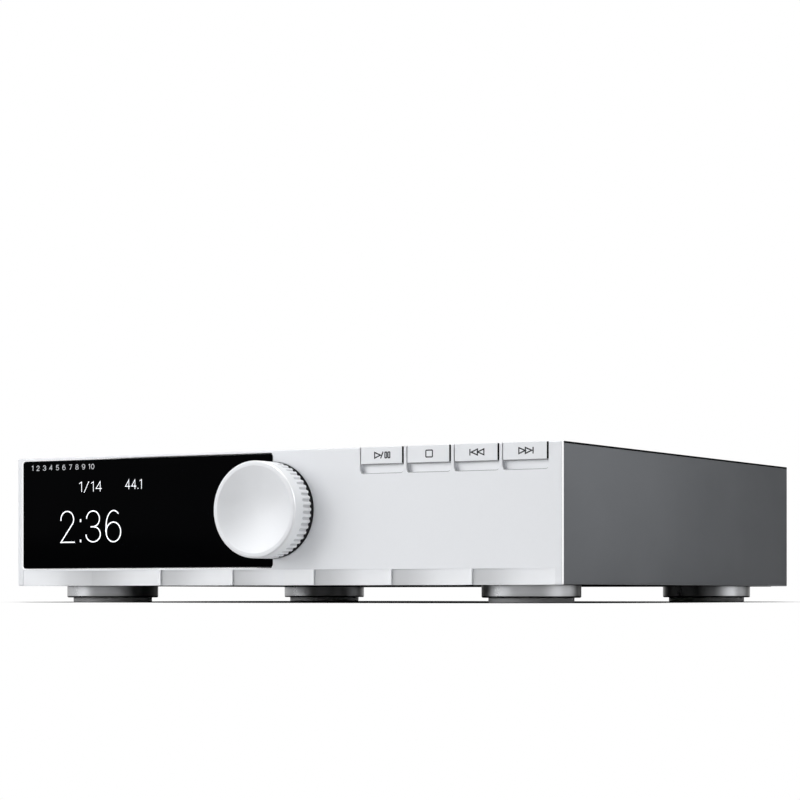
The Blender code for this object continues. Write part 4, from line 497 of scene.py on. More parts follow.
PALE_INK = replace(KEY_INK, name="pale_ink", slot="ivory_plastic", colour=(0.62, 0.62, 0.62))
FLOOR_WHITE = FloorFinish("studio_floor", "ivory_plastic", (0.8, 0.8, 0.8), 0.9, 0.0, 0.0)


# ---- Outlines and shapes


def arc(centre: Pair, radius: float, start: float, end: float, steps: int, flatten: float = 1.0) -> Outline:
    """Return points along an arc, its angles in degrees and its height flattened by a share."""
    turns = [math.radians(start + (end - start) * step / steps) for step in range(steps + 1)]
    return [(centre[0] + radius * math.cos(at), centre[1] + radius * flatten * math.sin(at)) for at in turns]


def circle(centre: Pair, radius: float, count: int) -> Outline:
    """Return points round a circle, from the first axis on."""
    return arc(centre, radius, 0.0, 360.0, count)[:-1]


def rounded(low: Pair, high: Pair, radii: Sequence[float] = (0, 0, 0, 0), steps: int = 8) -> Outline:
    """A rectangle with its own radius at each corner.

    Args:
        low: Lowest corner.
        high: Highest corner.
        radii: Radius at lower left, lower right, upper right and upper left.
        steps: Spans along each rounded corner.

    Returns:
        The outline.
    """
    corners = (
        (low[0], low[1], 1, 1, 180.0), (high[0], low[1], -1, 1, 270.0),
        (high[0], high[1], -1, -1, 0.0), (low[0], high[1], 1, -1, 90.0),
    )
    points: Outline = []
    for (across, up, inward, upward, start), radius in zip(corners, radii):
        if radius <= 0:
            points.append((across, up))
        else:
            centre = (across + inward * radius, up + upward * radius)
            points += arc(centre, radius, start, start + 90.0, steps)
    return points


def grown(low: Pair, high: Pair, growth: float) -> tuple[Pair, Pair]:
    """Return a rectangle's two corners, moved outwards by the growth."""
    return (low[0] - growth, low[1] - growth), (high[0] + growth, high[1] + growth)


def plate(centre: Pair, half: Pair, radius: float = 0.0, steps: int = 3) -> Outline:
    """Return a rectangle from its middle and half sizes, with one radius for its corners."""
    low, high = (centre[0] - half[0], centre[1] - half[1]), (centre[0] + half[0], centre[1] + half[1])
    return rounded(low, high, (radius,) * 4, steps)


def rows(base: float, pairs: Sequence[Pair]) -> Outline:
    """Return a profile's rows, given in millimetres, with their heights from a base."""
    return [(radius * MM, base + up * MM) for radius, up in pairs]


def washer(base: float, ring: Ring) -> Outline:
    """Return the section of a ring: inner and outer radius, low and high end, in millimetres."""
    inner, outer, low, high = ring
    return rows(base, ((inner, low), (outer, low), (outer, high), (inner, high)))


def around(centre: Pair, radius: float, count: int, start: float = 0.0) -> Outline:
    """Return places spread evenly round a centre, from a start angle in radians."""
    angles = [math.tau * number / count + start for number in range(count)]
    return [(centre[0] + radius * math.cos(angle), centre[1] + radius * math.sin(angle)) for angle in angles]


class Shape:
    """Closed shells of one piece, drawn in the frame's metres."""

    def __init__(self) -> None:
        """Start with nothing drawn."""
        self.mesh = bmesh.new()

    def point(self, axis: Axis, pair: Pair, along: float) -> bmesh.types.BMVert:
        """Add a vertex, from its place within an outline and along the outline's axis."""
        place = dict(zip(axis.value, (*pair, along)))
        return self.mesh.verts.new([place[number] for number in range(3)])

    def bridge(self, lines: list[list[bmesh.types.BMVert]], closed: bool = False) -> Shape:
        """Join rows of points by faces, where a row of one point is a tip.

        Args:
            lines: The rows, in order.
            closed: Whether the last row joins the first; open ends are capped.

        Returns:
            This shape.
        """
        for lower, upper in list(zip(lines, lines[1:])) + ([(lines[-1], lines[0])] if closed else []):
            count = max(len(lower), len(upper))
            for index in range(count):
                after = (index + 1) % count
                corners = [lower[index % len(lower)], lower[after % len(lower)]]
                corners += [upper[after % len(upper)], upper[index % len(upper)]]
                self.mesh.faces.new(list(dict.fromkeys(corners)))
        for line in (lines[0], lines[-1]):
            if not closed and len(line) > 1:
                self.mesh.faces.new(line)
        return self

    def skin(self, axis: Axis, stations: Sequence[tuple[Outline, float]]) -> Shape:
        """Skin outlines of as many points each along an axis, and return this shape."""
        lines = [[self.point(axis, pair, along) for pair in outline] for outline, along in stations]
        return self.bridge(lines)

    def prism(self, axis: Axis, outline: Outline, start: float, end: float) -> Shape:
        """Extrude an outline from start to end and return this shape."""
        return self.skin(axis, [(outline, start), (outline, end)])

    def box(self, low: Sequence[float], high: Sequence[float]) -> Shape:
        """Add a box between two corners and return this shape."""
        return self.prism(Axis.Z, rounded((low[0], low[1]), (high[0], high[1])), low[2], high[2])

    def turn(
        self, axis: Axis, centre: Pair, profile: Sequence[Pair], steps: int, ring: bool = False,
        ripple: Callable[[float, float, float], float] | None = None,
    ) -> Shape:
        """Spin a profile of (radius, height) about an axis.

        Args:
            axis: Axis to spin about.
            centre: Place of the axis.
            profile: Radius and height of each row, a radius of 0 for the axis.
            steps: Spans round the axis.
            ring: Whether the profile's ends join.
            ripple: Returns the radius for a radius, a height and an angle.

        Returns:
            This shape.
        """
        lines = []
        for radius, along in profile:
            if radius <= 0:
                lines.append([self.point(axis, centre, along)])
                continue
            line = []
            for step in range(steps):
                angle = math.tau * step / steps
                reach = ripple(radius, along, angle) if ripple else radius
                pair = (centre[0] + reach * math.cos(angle), centre[1] + reach * math.sin(angle))
                line.append(self.point(axis, pair, along))
            lines.append(line)
        return self.bridge(lines, ring)

    def stroke(
        self, points: Sequence[Pair], width: float, front: float, back: float, closed: bool = False,
    ) -> Shape:
        """Add a flat band of one width along a line that faces the front.

        Args:
            points: Points of the line, as X and Z.
            width: Width of the band.
            front: Front face, along Y.
            back: Back face, along Y.
            closed: Whether the line joins up.

        Returns:
            This shape.
        """
        count = len(points)
        lines = []
        for index, place in enumerate(points):
            legs = []
            if closed or index > 0:
                legs.append((Vector(place) - Vector(points[index - 1])).normalized())
            if closed or index < count - 1:
                legs.append((Vector(points[(index + 1) % count]) - Vector(place)).normalized())
            sides = [Vector((-leg.y, leg.x)) for leg in legs]
            middle_side = sum(sides, Vector((0.0, 0.0)))
            side = middle_side * (width / 2 * len(sides) / max(middle_side.length_squared, 0.4))
            near, far = Vector(place) + side, Vector(place) - side
            ends = ((near, front), (far, front), (far, back), (near, back))
            lines.append([self.point(Axis.Y, tuple(end), depth) for end, depth in ends])
        return self.bridge(lines, closed)

    def build(self, name: str, finish: Finish, crease: float = CREASE, origin: Place = (0, 0, 0)) -> Piece:
        """Make an object with smooth faces and sharp creases.

        Args:
            name: Name of the object.
            finish: Finish of its first material slot.
            crease: Angle in degrees from which an edge stays sharp.
            origin: Place of the object's own origin.

        Returns:
            The object.
        """
        bmesh.ops.recalc_face_normals(self.mesh, faces=self.mesh.faces[:])
        bmesh.ops.translate(self.mesh, verts=self.mesh.verts[:], vec=-Vector(origin))
        data = bpy.data.meshes.new(name)
        self.mesh.to_mesh(data)
        self.mesh.free()
        data.materials.append(finish.material())
        piece = bpy.data.objects.new(name, smooth(data, crease))
        piece.location = Vector(origin)
        bpy.context.scene.collection.objects.link(piece)
        return piece

    def place(
        self, name: str, finish: Finish, body: str, *nodes: str,
        crease: float = CREASE, origin: Place = (0, 0, 0),
    ) -> Piece:
        """Build this shape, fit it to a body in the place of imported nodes, and return it."""
        return fit(self.build(name, finish, crease, origin), body, finish, *nodes)


def smooth(data: bpy.types.Mesh, crease: float) -> bpy.types.Mesh:
    """Return the mesh with smooth faces, sharp at creases from an angle in degrees on."""
    data.shade_smooth()
    data.set_sharp_from_angle(angle=math.radians(crease))
    return data


def baked(piece: Piece) -> bpy.types.Mesh:
    """Return a piece's mesh as its modifiers leave it, and drop the modifiers."""
    bpy.context.view_layer.update()
    graph = bpy.context.evaluated_depsgraph_get()
    data = bpy.data.meshes.new_from_object(piece.evaluated_get(graph))
    piece.modifiers.clear()
    return data


def even(piece: Piece) -> Piece:
    """Weight a piece's normals by face area, and keep its large faces exactly flat.

    Args:
        piece: Finished piece.

    Returns:
        The same piece.
    """
    piece.modifiers.new("even", "WEIGHTED_NORMAL").keep_sharp = True
    data = baked(piece)
    normals = [tuple(corner.vector) for corner in data.corner_normals]
    planes: dict[tuple[float, ...], list[bpy.types.MeshPolygon]] = {}
    for face in data.polygons:
        key = tuple(round(part, 3) for part in face.normal) + (round(face.normal.dot(face.center) / MM, 1),)
        planes.setdefault(key, []).append(face)
    for faces in planes.values():
        if sum(face.area for face in faces) > FLAT_AREA and max(len(face.vertices) for face in faces) > 4:
            for face in faces:
                for loop in face.loop_indices:
                    normals[loop] = tuple(face.normal)
    data.normals_split_custom_set(normals)
    piece.data = data
    return piece


def paint(piece: Piece, finish: Finish, test: Test) -> Piece:
    """Give the faces that pass a test a second finish.

    Args:
        piece: Piece to dress.
        finish: Finish of those faces.
        test: Tells from a face's middle and normal whether it takes the finish.

    Returns:
        The same piece.
    """
    piece.data.materials.append(finish.material())
    number = len(piece.data.materials) - 1
    for face in piece.data.polygons:
        if test(face.center + piece.location, face.normal):
            face.material_index = number
    return piece


def carve(piece: Piece, cutters: Iterable[Shape], operation: str = "DIFFERENCE") -> Piece:
    """Cut shapes out of a piece, or join them to it, one after another.

    Args:
        piece: Piece to change.
        cutters: Shapes to use up.
        operation: DIFFERENCE or UNION.

    Returns:
        The same piece.
    """
    tools = []
    for number, shape in enumerate(cutters):
        tool = shape.build(f"{piece.name}_cutter_{number}", SATIN)
        tool.data.materials.clear()
        modifier = piece.modifiers.new(tool.name, "BOOLEAN")
        modifier.operation, modifier.solver, modifier.object = operation, "EXACT", tool
        tools.append(tool)
    piece.data = smooth(baked(piece), CREASE)
    for tool in tools:
        bpy.data.objects.remove(tool, do_unlink=True)
    return piece


def soften(piece: Piece, width: float, spans: int = 2, angle: float = 38.0) -> Piece:
    """Round a piece's sharp edges.

    Args:
        piece: Piece to change.
        width: Width of the rounding.
        spans: Spans across it.
        angle: Smallest angle in degrees between faces that gets rounded.

    Returns:
        The same piece.
    """
    bevel = piece.modifiers.new("round", "BEVEL")
    bevel.width, bevel.segments = width, spans
    bevel.limit_method, bevel.angle_limit = "ANGLE", math.radians(angle)
    piece.data = smooth(baked(piece), 50.0)
    return piece


def fit(piece: Piece, body: str, finish: Finish, *nodes: str) -> Piece:
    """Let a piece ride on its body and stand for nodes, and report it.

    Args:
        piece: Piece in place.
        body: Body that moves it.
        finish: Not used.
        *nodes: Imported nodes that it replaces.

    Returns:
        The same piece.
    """
    if piece.data.users == 1:
        even(piece)
    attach(piece, body)
    if nodes:
        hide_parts(*nodes)
    log.info("%s rides on %s", piece.name, body)
    return piece


def coat(finish: Finish, *nodes: str) -> None:
    """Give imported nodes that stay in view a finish.

    Args:
        finish: Finish to give.
        *nodes: Names of the nodes.
    """
    for name in nodes:
        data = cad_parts[name].data
        data.materials.clear()
        data.materials.append(finish.material())
        log.info("%s keeps its packed shape", name)


def middle(node: str) -> Vector:
    """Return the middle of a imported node's box."""
    low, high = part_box(node)
    return (low + high) / 2


def knob_centre() -> Pair:
    """Return the middle of the knob's plate, as X and Z."""
    low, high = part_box("knob_plate")
    return 0.0, (low.z + high.z) / 2


def lid_opening() -> Outline:
    """Return the outline of the lid's opening, a gap round the lid."""
    half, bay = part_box("lid_frame")[1].x + LID_GAP, middle("lid_window").y
    corner = LID_CORNER + LID_GAP
    return rounded((-half, bay - half), (half, bay + half), (corner, corner, 0, 0), 10)


def hinge_axis() -> Pair:
    """Return the lid's hinge, as Y and Z."""
    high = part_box("lid_frame")[1]
    return high.y - HINGE_RADIUS, high.z - HINGE_RADIUS


def pin_bores(inner: float, outer: float) -> list[Shape]:
    """Return cutters for both hinge pins, from inner to outer distances off the middle."""
    ends = ((-outer, -inner), (inner, outer))
    return [Shape().prism(Axis.X, circle(hinge_axis(), PIN_BORE, 32), start, end) for start, end in ends]


def notch_opening() -> Outline:
    """Return the outline of the finger notch in front of the lid."""
    return circle((0.0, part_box("lid_frame")[0].y), NOTCH_RADIUS, 64)


# ---- Sub-assemblies


@dataclass
class Cover:
    """The folded cover with painted shade lines along its top edges, and the tray, painted black as shade,
    with its rear ridge.
    """

    wall: float = 1.5 * MM
    chamfer: float = 0.45 * MM
    foot_chamfer: float = 0.3 * MM
    edge: float = 0.12 * MM
    cut_depth: float = 4.5 * MM
    panel_room: float = 13.2 * MM
    shade_line_drop: float = 0.8 * MM
    shade_line_skin: float = 0.04 * MM
    ridge: float = 0.15 * MM
    ridge_inset: float = 4.0 * MM
    ridge_from_rear: Pair = (16.0 * MM, 2.0 * MM)

    def build(self) -> None:
        """Build the cover with a painted highlight on its lower chamfers, its painted shade lines and the
        ridge, and paint the tray black as shade.
        """
        low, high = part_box("top_cover")
        inner, roof, cut = high.x - self.wall, high.z - self.wall, self.foot_chamfer
        right = [(inner, roof), (inner, low.z), (high.x - cut, low.z), (high.x, low.z + cut)]
        right += arc((high.x - self.chamfer, high.z - self.chamfer), self.chamfer, 0.0, 90.0, 5)
        outline = [(-across, up) for across, up in reversed(right)] + right
        cover = Shape().prism(Axis.Y, outline, low.y, high.y).build("cover", GRAPHITE)
        room_high = (inner, low.y + self.panel_room, high.z + OVERRUN)
        cuts = [Shape().box((-inner, low.y - OVERRUN, roof - OVERRUN), room_high)]
        for opening in (lid_opening(), notch_opening()):
            cuts.append(Shape().prism(Axis.Z, opening, high.z - self.cut_depth, high.z + OVERRUN))
        carve(cover, cuts)
        soften(cover, self.edge, 2, 50.0)
        # Painted highlight on the cover's lower outer chamfers.
        paint(cover, GRAPHITE_EDGE_PAINTED_HIGHLIGHT, lambda spot, normal: normal.z < -0.5 and abs(normal.x) > 0.5)
        fit(cover, "case", GRAPHITE, "top_cover")
        self.lay_shade_lines()
        # The tray is painted black as the shade under the player.
        coat(PAINTED_SHADE_BLACK, "base_tray")
        self.rear_ridge()

    def lay_shade_lines(self) -> None:
        """Lay a thin black strip into each folded top edge: a painted shade line."""
        low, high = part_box("top_cover")
        outer, skin, drop = high.x, self.shade_line_skin, self.shade_line_drop
        fold = arc((outer - self.chamfer, high.z - self.chamfer), self.chamfer + skin, -1.0, 91.0, 6)
        points = [(outer, high.z - drop)] + [(min(across, outer), min(up, high.z)) for across, up in fold]
        points += [(outer - drop, high.z), (outer - drop, high.z - skin), (outer - 2 * skin, high.z - drop)]
        for name, side in (("edge_shade_line_left", -1), ("edge_shade_line_right", 1)):
            outline = [(side * across, up) for across, up in points]
            Shape().prism(Axis.Y, outline, low.y + skin, high.y - skin).place(name, PAINTED_SHADE_BLACK, "case")

    def rear_ridge(self) -> None:
        """Build the thin ridge under the tray's rear edge."""
        low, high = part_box("base_tray")
        left, right, proud = low.x + self.ridge_inset, high.x - self.ridge_inset, self.ridge
        start, end = (high.y - inset for inset in self.ridge_from_rear)
        ridge = Shape().box((left, start, low.z - proud), (right, end, low.z + proud))
        ridge.place("base_ridge", PAINTED_SHADE_BLACK, "case")


@dataclass
class FrontPanel:
    """The silver front: window opening, knob recess, key scoops and facets."""

    round_edge: float = 0.5 * MM
    round_steps: int = 5
    corner: float = 0.35 * MM
    edge: float = 0.1 * MM
    lip: float = 1.6 * MM
    depth: float = 8.0 * MM
    ledge_depth: float = 14.5 * MM
    ledge_height: float = 6.9 * MM
    side_gap: float = 1.8 * MM
    mouth_flare: float = 0.22 * MM
    window_gap: float = 0.17 * MM
    window_flare: float = 0.6 * MM
    screen_inset: float = 2.7 * MM
    recess_gap: float = 0.3 * MM
    pocket_depth: float = 2.2 * MM
    facet_top: float = 6.3 * MM
    facet_margin: float = 2.9 * MM
    facet_depth: float = 0.9 * MM
    crest_depth: float = 0.15 * MM
    facets_per_side: int = 3
    facet_steps: int = 36
    middle_facet: float = 39.0 * MM
    # Painted light and shade of the facets, as colour scales at shares across a facet; the middle facet's
    # stops are lighter as painted light against the knob's shadow, and the step walls get painted light.
    facet_painted_shading: Pairs = ((0.0, 0.63), (0.2, 0.69), (0.35, 0.79), (0.5, 0.9), (0.65, 0.97), (1.0, 1.01))
    middle_facet_painted_shading: Pairs = ((0.0, 0.63), (0.2, 0.75), (0.35, 0.91), (0.5, 1.05), (0.65, 1.14), (1.0, 1.15))
    first_facet_painted_shading: Pairs = ((0.0, 1.05), (0.2, 1.04), (0.35, 1.0), (0.5, 0.93), (0.65, 0.79), (1.0, 0.66))
    step_painted_light: float = 1.15
    key_gap: float = 0.35 * MM
    key_depth: float = 12.35 * MM
    slot_drop: float = 3.85 * MM
    scoop_drop: float = 10.35 * MM
    scoop_depth: float = 2.2 * MM
    scoop_corner: float = 1.4 * MM
    stem_radius: float = 1.85 * MM
    tiny: float = 0.02 * MM

    def build(self) -> None:
        """Build the panel and cut everything into it."""
        low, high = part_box("front_panel")
        face, half = low.y, high.x
        panel = self.plate().build("panel", SATIN)
        start, back, ledge = face + self.lip * 0.8, face + self.depth, face + self.ledge_depth
        under = high.z - self.ledge_height
        side = [(start, low.z), (back, low.z), (back, under), (ledge, under), (ledge, high.z)]
        inner = half - self.side_gap
        carve(panel, [Shape().prism(Axis.X, side + [(start, high.z)], -inner, inner)], "UNION")
        carve(panel, self.window_cuts(face) + self.key_cuts(face, high.z))
        soften(panel, self.edge, 2, 50.0)
        plan = self.facets(face, half)
        carve(panel, [Shape().prism(Axis.Z, plan, low.z - OVERRUN, low.z + self.facet_top)])
        self.dress(panel)
        fit(panel, "case", SATIN, "front_panel")
        # Painted light and shade on the facets, stored on the mesh.
        self.store_painted_shading(panel, half)

    def plate(self) -> Shape:
        """Draw the front plate with its rounded outer edge.

        Returns:
            The plate.
        """
        low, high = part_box("front_panel")
        insets = []
        for step in range(self.round_steps + 1):
            angle = math.pi / 2 * step / self.round_steps
            insets.append((self.round_edge * (1 - math.sin(angle)), self.round_edge * (1 - math.cos(angle))))
        stations = []
        for inset, depth in insets + [(0.0, self.lip)]:
            corners = grown((-high.x, low.z), (high.x, high.z), -inset)
            stations.append((rounded(*corners, [self.corner] * 4, 4), low.y + depth))
        return Shape().skin(Axis.Y, stations)

    def mouth(self, outline_at: Callable[[float], Outline], floor: float, flare: float) -> Shape:
        """Return a pocket cutter whose rim is flared by a small chamfer.

        Args:
            outline_at: Returns the pocket's outline for a growth.
            floor: Floor of the pocket, along Y.
            flare: Width and depth of the chamfer.

        Returns:
            The cutter.
        """
        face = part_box("front_panel")[0].y
        stations = [(outline_at(2 * flare), face - flare), (outline_at(0.0), face + flare)]
        return Shape().skin(Axis.Y, stations + [(outline_at(0.0), floor)])

    def window_cuts(self, face: float) -> list[Shape]:
        """Cutters for the window, the knob's plate, the display and the bushing.

        Args:
            face: The panel's face, along Y.

        Returns:
            The cutters.
        """
        low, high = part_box("display_window")
        corners = grown((low.x, low.z), (WINDOW_END, high.z), self.window_gap)
        knob, recess = knob_centre(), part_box("knob_plate")[1].x + self.recess_gap

        def pocket(growth: float) -> Outline:
            """Return the window's opening, grown."""
            return rounded(*grown(*corners, growth), [WINDOW_CORNER + growth] * 4)

        def round_recess(growth: float) -> Outline:
            """Return the knob's recess, grown."""
            return circle(knob, recess + growth, 128)

        screen_low, screen_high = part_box("display_module")
        screen = grown((screen_low.x, screen_low.z), (screen_high.x, screen_high.z), -self.screen_inset)
        floor, back = face + self.pocket_depth, face + self.depth + OVERRUN
        return [
            self.mouth(pocket, floor, self.window_flare),
            self.mouth(round_recess, floor + self.recess_gap, self.mouth_flare),
            Shape().prism(Axis.Y, rounded(*screen), face, back),
            Shape().prism(Axis.Y, circle(knob, BUSHING_BORE, 48), face, back),
        ]

    def key_cuts(self, face: float, top: float) -> list[Shape]:
        """Cutters for each key's slot, finger scoop and stem hole.

        Args:
            face: The panel's face, along Y.
            top: Top of the panel.

        Returns:
            The cutters.
        """
        cuts = []
        slot, above = top - self.slot_drop, top + OVERRUN
        for icon in Icon:
            low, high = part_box(icon.value)
            left, right = low.x - self.key_gap, high.x + self.key_gap

            def scoop(growth: float, left: float = left, right: float = right) -> Outline:
                """Return the scoop's outline, grown."""
                radius, floor = self.scoop_corner + growth, top - self.scoop_drop - growth
                return rounded((left - growth, floor), (right + growth, above), (radius, radius, 0, 0))

            stem = circle(((low.x + high.x) / 2, face + KEY_STEM), self.stem_radius, 24)
            cuts.append(self.mouth(scoop, face + self.scoop_depth, self.mouth_flare))
            cuts.append(Shape().box((left, face - OVERRUN, slot), (right, face + self.key_depth, above)))
            cuts.append(Shape().prism(Axis.Z, stem, top - self.ledge_height - OVERRUN, slot + OVERRUN))
        return cuts

    def spans(self, half: float) -> list[Pair]:
        """Return each facet's left end and width."""
        side = (2 * half - 2 * self.facet_margin - self.middle_facet) / (2 * self.facets_per_side)
        widths = [side] * self.facets_per_side + [self.middle_facet] + [side] * self.facets_per_side
        left, spans = self.facet_margin - half, []
        for width in widths:
            spans.append((left, width))
            left += width
        return spans

    def facets(self, face: float, half: float) -> Outline:
        """Plan of the scallops: deepest at the left end, rising to a crest.

        Args:
            face: The panel's face, along Y.
            half: Half of the panel's width.

        Returns:
            The plan of the cutter.
        """
        spans = self.spans(half)
        points = [(spans[0][0], face - OVERRUN)]
        for number, (left, width) in enumerate(spans):
            for step in range(self.facet_steps + 1):
                share = step / self.facet_steps
                climb = 1 - share if number == 0 else share
                fall = (self.facet_depth - self.crest_depth) * (1 - climb * climb)
                points.append((left + width * share, face + self.crest_depth + fall))
            if number == 0:
                points.pop()
        return points + [(sum(spans[-1]), face - OVERRUN)]

    def dress(self, panel: Piece) -> None:
        """Give the panel's cut edges a painted highlight, the facets painted light and shade, the scoops
        painted shade on their lower edges and painted light on their back walls, and the key slots' walls
        black painted shade.

        Args:
            panel: The finished panel.
        """
        low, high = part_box("front_panel")
        face, half, tiny = low.y, high.x, self.tiny
        window_low, window_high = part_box("display_window")
        reach = self.window_gap + self.window_flare + tiny
        keys = [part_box(icon.value) for icon in Icon]
        scoop_floor, key_floor = high.z - self.scoop_drop, keys[0][1].z - KEY_FRONT

        def cut_edge_painted_highlight(spot: Vector, normal: Vector) -> bool:
            """Tell the outer edges and the window's bevel, which take a painted highlight."""
            outer = abs(spot.x) > half - 0.5 * self.round_edge and abs(normal.x) > 0.8
            across = window_low.x - reach < spot.x < WINDOW_END + reach
            upright = window_low.z - reach < spot.z < window_high.z + reach
            slanted = 0.5 < -normal.y < 0.9 and normal.x > -0.4 and spot.y < face + self.window_flare
            return (outer and spot.z > low.z + self.round_edge) or (slanted and across and upright)

        def facet(spot: Vector, normal: Vector) -> bool:
            """Tell the walls and steps of the facets, which take painted light and shade."""
            depth, turned = spot.y - face, normal.y < -0.7 or abs(normal.x) > 0.9
            inside = abs(spot.x) < half - self.facet_margin + tiny and spot.z < low.z + self.facet_top
            return inside and turned and self.crest_depth / 2 < depth < self.facet_depth + tiny

        def painted_shade_scoop_edge(spot: Vector, normal: Vector) -> bool:
            """Tell the slanted lower edge of the scoops, which takes painted shade."""
            near = abs(spot.z - scoop_floor) < 2 * self.mouth_flare
            return near and 0.3 < -normal.y < 0.95 and normal.z > 0.3

        def painted_light_scoop_wall(spot: Vector, normal: Vector) -> bool:
            """Tell the back walls of the scoops, which take painted light."""
            near = abs(spot.y - face - self.scoop_depth) < tiny and scoop_floor < spot.z < high.z
            return near and normal.y < -0.9

        def painted_shade_slot_wall(spot: Vector, normal: Vector) -> bool:
            """Tell the side walls beside the keys, painted black as shade."""
            inside = face + self.mouth_flare < spot.y < face + self.key_depth and spot.z > key_floor - tiny
            beside = keys[-1][0].x - self.lip < spot.x < keys[0][1].x + self.lip
            return inside and beside and abs(normal.x) > 0.9

        looks = (
            (CUT_EDGE_PAINTED_HIGHLIGHT, cut_edge_painted_highlight), (FACET_PAINTED_SHADING, facet), (PAINTED_SHADE_GREY, painted_shade_scoop_edge), (SCOOP_SATIN_PAINTED_LIGHT, painted_light_scoop_wall),
            (PAINTED_SHADE_BLACK, painted_shade_slot_wall),
        )
        for finish, test in looks:
            paint(panel, finish, test)

    def store_painted_shading(self, panel: Piece, half: float) -> None:
        """Store the facets' painted light and shade: darker at each facet's deep end, lighter towards its
        crest and on the step walls.

        Args:
            panel: The finished panel.
            half: Half of the panel's width.
        """
        spans = self.spans(half)
        special = {0: self.first_facet_painted_shading, self.facets_per_side: self.middle_facet_painted_shading}
        data = panel.data
        layer = data.attributes.new(PAINTED_SHADING, "FLOAT", "CORNER")
        for face in data.polygons:
            inside = [left <= face.center.x < left + width for left, width in spans]
            number = inside.index(True) if any(inside) else None
            for loop in face.loop_indices:
                painted_shading = 1.0
                if number is not None:
                    left, width = spans[number]
                    share = (data.vertices[data.loops[loop].vertex_index].co.x - left) / width
                    stops = special.get(number, self.facet_painted_shading)
                    painted_shading = self.step_painted_light if abs(face.normal.x) > 0.9 else self.painted_shading(share, stops)
                layer.data[loop].value = painted_shading

    @staticmethod
    def painted_shading(share: float, stops: Pairs) -> float:
        """Return the painted light and shade at a share of a facet, between its stops."""
        for (start, low), (end, high) in zip(stops, stops[1:]):
            if share <= end:
                return low + (high - low) * max(0.0, share - start) / (end - start)
        return stops[-1][1]


@dataclass
class Keys:
    """Four rounded keys, each with a printed sign, black painted shade on its sides and a strip of painted
    shade under its front.
    """

    edge: float = 0.22 * MM
    top_wall: float = 2.5 * MM
    front_wall: float = 1.8 * MM
    stem_radius: float = 1.5 * MM
    left_growth: float = 0.06 * MM
    right_growth: float = -0.33 * MM
    shade_strip: float = 0.32 * MM
    sign_shift: float = 0.27 * MM
    sign_height: float = 2.8 * MM
    ink_width: float = 0.5 * MM
    ink_proud: float = 0.02 * MM

    def build(self) -> None:
        """Build each key with black painted shade on its sides, the strip of painted shade under its front
        and its sign.
        """
        for icon in Icon:
            name = icon.value
            low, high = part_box(name)
            face, inside = low.y, low.y + self.front_wall
            foot, roof = high.z - KEY_FRONT, high.z - self.top_wall
            side = [(face, foot), (inside, foot), (inside, roof), (high.y, roof), (high.y, high.z)]
            left, right, centre = low.x - self.left_growth, high.x + self.right_growth, (low.x + high.x) / 2
            shape = Shape().prism(Axis.X, side + [(face, high.z)], left, right)
            key = shape.build(f"{name}_cap", KEY_SATIN)
            soften(key, self.edge, 3)
            # Black painted shade on the key's sides, seen in the gaps beside it.
            paint(key, PAINTED_SHADE_BLACK, lambda spot, normal: abs(normal.x) > 0.8)
            stem = circle((centre, face + KEY_STEM), self.stem_radius, 24)
            carve(key, [Shape().prism(Axis.Z, stem, low.z, roof + self.edge)], "UNION")
            fit(key, name, KEY_SATIN, name)
            # A thin dark strip under the key's front: painted shade.
            shade_strip_low = (left + self.edge, face + self.edge, foot - self.shade_strip)
            shade_strip_high = (right - self.edge, inside, foot + self.edge)
            Shape().box(shade_strip_low, shade_strip_high).place(f"{name}_seal", PAINTED_SHADE_GREY, name)
            sign = self.sign(icon, (centre + self.sign_shift, high.z - KEY_FRONT * 0.5), face)
            sign.place(f"{name}_sign", KEY_INK, name)

    def sign(self, icon: Icon, centre: Pair, face: float) -> Shape:
        """Draw a key's sign in thin lines.

        Args:
            icon: Which sign.
            centre: Middle of the sign, as X and Z.
            face: The key's face, along Y.

        Returns:
            The sign's shape.
        """
        shape, half = Shape(), self.sign_height / 2

        def line(points: Sequence[Pair], closed: bool = True) -> None:
            """Draw a line given in half heights from the sign's middle."""
            spots = [(centre[0] + across * half, centre[1] + up * half) for across, up in points]
            shape.stroke(spots, self.ink_width, face - self.ink_proud, face + self.ink_proud, closed)

        def triangle(tip: float, base: float) -> None:
            """Draw a triangle from its tip to its base."""
            line([(base, -0.8), (tip, 0.0), (base, 0.8)])

        if icon is Icon.PLAY_PAUSE:
            triangle(-0.62, -2.5)
            line([(-0.55, -0.95), (0.25, 0.95)], False)
            for left in (0.85, 1.85):
                line(rounded((left, -0.8), (left + 0.58, 0.8), (0.12,) * 4, 3))
        elif icon is Icon.STOP:
            line(rounded((-1.05, -0.95), (1.05, 0.95), (0.25,) * 4, 4))
        else:
            side = 1 if icon is Icon.NEXT else -1
            for base in (-2.15, -0.15):
                triangle(side * (base + 1.95), side * base)
            line([(side * 2.2, -0.9), (side * 2.2, 0.9)], False)
        return shape


